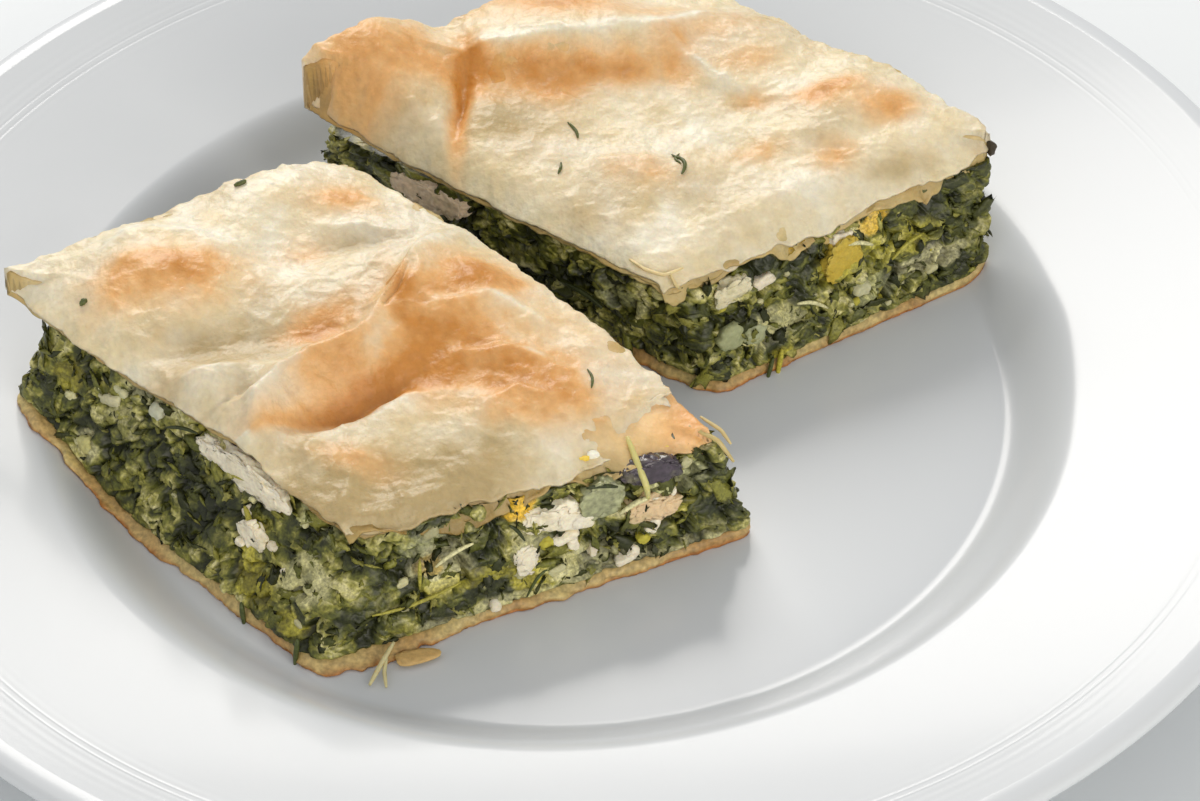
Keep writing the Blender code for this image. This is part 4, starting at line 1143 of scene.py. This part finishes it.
PASTRY_SHRED = np.array([0.66, 0.58, 0.30])
shred_parts, shred_shades = [], []
for path, thick, shade in (
    ([(11.6, -40.2, 33.2), (13.2, -44.4, 31.0), (14.6, -46.6, 28.0), (14.9, -46.4, 24.8)], 0.6,
     (0.66, 0.60, 0.22)),
    ([(22.0, -36.6, 31.9), (26.8, -39.2, 31.0), (29.4, -41.2, 27.8)], 0.42, (0.60, 0.48, 0.20)),
    ([(24.0, -34.8, 32.4), (27.4, -37.4, 31.6), (29.0, -39.4, 30.2)], 0.36, (0.66, 0.52, 0.24)),
    ([(-28.0, -64.0, 10.0), (-30.2, -67.6, 8.4), (-32.0, -71.0, 7.2)], 0.45, PASTRY_SHRED),
    ([(-29.2, -66.0, 8.8), (-29.6, -68.6, 7.8), (-29.2, -71.6, 7.2)], 0.36, PASTRY_SHRED),
    ([(13.0, 5.2, 33.6), (15.5, 2.4, 33.6), (19.0, 1.2, 33.0), (22.4, 2.8, 33.4)], 0.36,
     (0.78, 0.62, 0.32)),
    ([(20.0, 1.6, 33.2), (21.0, 0.4, 31.4), (21.6, 0.8, 30.4)], 0.34, (0.74, 0.58, 0.28)),
):
    knots = np.array(path)
    steps = np.linspace(0, len(knots) - 1, 15)
    curve = np.stack([np.interp(steps, np.arange(len(knots)), knots[:, j]) for j in range(3)], -1)
    curve[1:-1] = (curve[:-2] + 2 * curve[1:-1] + curve[2:]) / 4
    shred_parts.append(strand(curve, thick * np.sin(np.linspace(0.25, math.pi - 0.2, 15)) ** 0.4, 10))
    shred_shades.append(np.array(shade))
gathered("pastry_shreds", shred_parts, shred_shades, filo)

# Stems and leaf strips that lie across the cut faces: yellow-green stalks, and dark strips that
# hang over the bottom crust. Side, start and end (share along, share up), bow, radius, colour.
STALK = np.array([0.42, 0.38, 0.06])
stem_parts, stem_shades = [], []
for name, side, start, end, bow, thick, shade in (
    ("front", 0, (0.635, 0.80), (0.685, 0.84), 0.1, 0.28, STALK),
    ("front", 0, (0.725, 0.92), (0.735, 0.78), 0.1, 0.30, STALK),
    ("front", 0, (0.70, 0.66), (0.765, 0.50), 1.0, 0.55, STALK),
    ("front", 0, (0.735, 0.60), (0.77, 0.58), 0.4, 0.45, STALK),
    ("front", 0, (0.50, 0.93), (0.41, 0.83), 0.6, 0.35, DARK_LEAF),
    ("front", 0, (0.80, 0.06), (0.815, -0.10), 0.3, 0.5, DARK_LEAF * 2),
    ("front", 0, (0.985, 0.10), (0.99, -0.10), 0.3, 0.5, DARK_LEAF * 2),
    ("front", 1, (0.03, 0.33), (0.26, 0.40), -1.0, 0.33, STALK),
    ("front", 1, (0.50, 0.27), (0.455, 0.06), 1.0, 0.30, DARK_LEAF * 2),
    ("front", 1, (0.16, 0.60), (0.26, 0.72), 0.6, 0.4, CURD),
    ("front", 1, (0.70, 0.62), (0.80, 0.70), 0.5, 0.5, CURD),
    ("front", 1, (0.60, 0.97), (0.70, 0.90), 0.4, 0.4, DARK_LEAF),
    ("front", 1, (0.14, 0.44), (0.10, 0.70), 0.6, 0.35, STALK),
    ("front", 1, (0.36, 0.80), (0.42, 0.62), 0.6, 0.35, DARK_LEAF),
    ("back", 1, (0.20, 0.10), (0.17, -0.12), 0.4, 0.55, YELLOW_GREEN),
    ("back", 1, (0.16, 0.06), (0.13, -0.12), 0.4, 0.45, DARK_LEAF * 2),
    ("back", 1, (0.50, 0.80), (0.60, 0.70), 0.6, 0.45, CURD),
    ("back", 1, (0.66, 0.50), (0.78, 0.62), 0.8, 0.4, STALK),
    ("back", 1, (0.30, 0.45), (0.40, 0.30), 0.8, 0.4, CURD),
    ("back", 0, (0.70, 0.5), (0.80, 0.4), 0.6, 0.5, DARK_LEAF),
):
    flat_wall, away = slices[name]["flat"], slices[name]["away"]
    ends = []
    for along, rise in (start, end):
        row, column = wall_place(name, side, along, min(max(rise, 0.0), 1.0))
        ends.append(flat_wall[row, column] + away[column] * 1.0 + [0, 0, 30.0 * min(rise, 0.0)])
    path = bent_path(ends[0], ends[1], [0, 0, bow], 11)
    stem_parts.append(strand(path, thick * np.sin(np.linspace(0.2, math.pi - 0.2, 11)) ** 0.5, 8))
    stem_shades.append(shade)
gathered("stems_and_strips", stem_parts, stem_shades, leaf)

# Loose bits: melted cheese on the bared golden sheet, a burnt scrap at the far crust's corner,
# and flakes of browned pastry on the plate. Middle, half sizes, turn, colour.
MELTED_CHEESE = [
    ((16.6, -38.6), (3.4, 1.3, 0.6), -20, (0.95, 0.66, 0.14)),
    ((13.4, -39.6), (1.4, 0.9, 0.5), 10, (0.93, 0.74, 0.30)),
    ((20.5, -37.6), (1.6, 1.0, 0.5), 30, (0.94, 0.80, 0.42)),
    ((5.8, -43.4), (1.3, 0.9, 0.5), 10, (0.92, 0.88, 0.72)),
    ((4.4, -44.4), (0.9, 0.6, 0.4), 0, (0.90, 0.62, 0.08)),
]
far_corner = tops["back"][-2, -2] + [0.5, -0.2, -0.5]
SCRAPS = [
    (far_corner, (0.9, 1.1, 1.7), 30, (0.05, 0.035, 0.015)),
    ((-24.4, -65.2, 7.6), (4.0, 1.6, 0.45), 14, (0.66, 0.44, 0.17)),
    ((-33.5, 31.5, 9.0), (0.8, 0.6, 0.5), 0, (0.6, 0.42, 0.2)),
]
bit_points, bit_shades = [], []


def add_bit(at, reach, turn, shade, seed):
    """Adds one small broken lump with these half sizes, turned by some degrees from above."""
    c, w = math.cos(math.radians(turn)), math.sin(math.radians(turn))
    axes = np.array([[c, w, 0], [-w, c, 0], [0, 0, 1.0]])
    bit_points.append(broken_lump(crumb_ball, np.array(reach), axes, np.array(at), seed, 0.9))
    bit_shades.append(np.broadcast_to(shade, bit_points[-1].shape))


for k, ((x, y), *looks) in enumerate(MELTED_CHEESE):
    add_bit([x, y, min(on_crust("front", x, y)[2], 34.0) + 0.1], *looks, 300 + k)
for k, scrap in enumerate(SCRAPS):
    add_bit(*scrap, 320 + k)
count = len(crumb_ball)
faces = np.concatenate([crumb_faces + k * count for k in range(len(bit_points))])
mesh = surface("loose_bits", np.concatenate(bit_points), NO_QUADS, faces)
tint(mesh, np.concatenate(bit_shades))
place(mesh, cheese, ())

# Floor and light. A plain pale surface, a broad soft window behind and to the left, and an even
# pale sky all round that fills the shadows.
floor_mesh = surface("floor", np.array([[-3e3, -3e3, 0], [3e3, -3e3, 0], [3e3, 3e3, 0], [-3e3, 3e3, 0]]),
                     np.array([[0, 1, 2, 3]]))
pale_floor, tree, shader = shader_material("pale_floor", (0.80, 0.83, 0.85), 0.6)
floor = bpy.data.objects.new("floor", floor_mesh)
bpy.context.scene.collection.objects.link(floor)
floor_mesh.materials.append(pale_floor)

world = bpy.data.worlds.new("sky")
world.use_nodes = True
world.node_tree.nodes["Background"].inputs["Color"].default_value = (1.0, 1.0, 1.0, 1.0)
world.node_tree.nodes["Background"].inputs["Strength"].default_value = 0.58
bpy.context.scene.world = world


def softbox(name, at, size, power, colour):
    """A square light that faces the middle of the plate."""
    light = bpy.data.lights.new(name, "AREA")
    light.size = size
    light.energy = power
    light.color = colour
    lamp = bpy.data.objects.new(name, light)
    bpy.context.scene.collection.objects.link(lamp)
    facing = -np.array(at) / np.linalg.norm(at)
    side = np.cross(facing, [0, 0, 1.0])
    side /= np.linalg.norm(side)
    over = np.cross(side, facing)
    lamp.matrix_world = Matrix(
        [[side[i], over[i], -facing[i], at[i]] for i in range(3)] + [[0, 0, 0, 1]]
    )


softbox("window", (-0.30, 1.2, 1.0), 0.8, 15.5, (1.0, 0.965, 0.91))
softbox("room", (0.55, -1.1, 0.40), 1.0, 8.0, (1.0, 0.94, 0.84))
bpy.context.scene.view_settings.view_transform = "Standard"
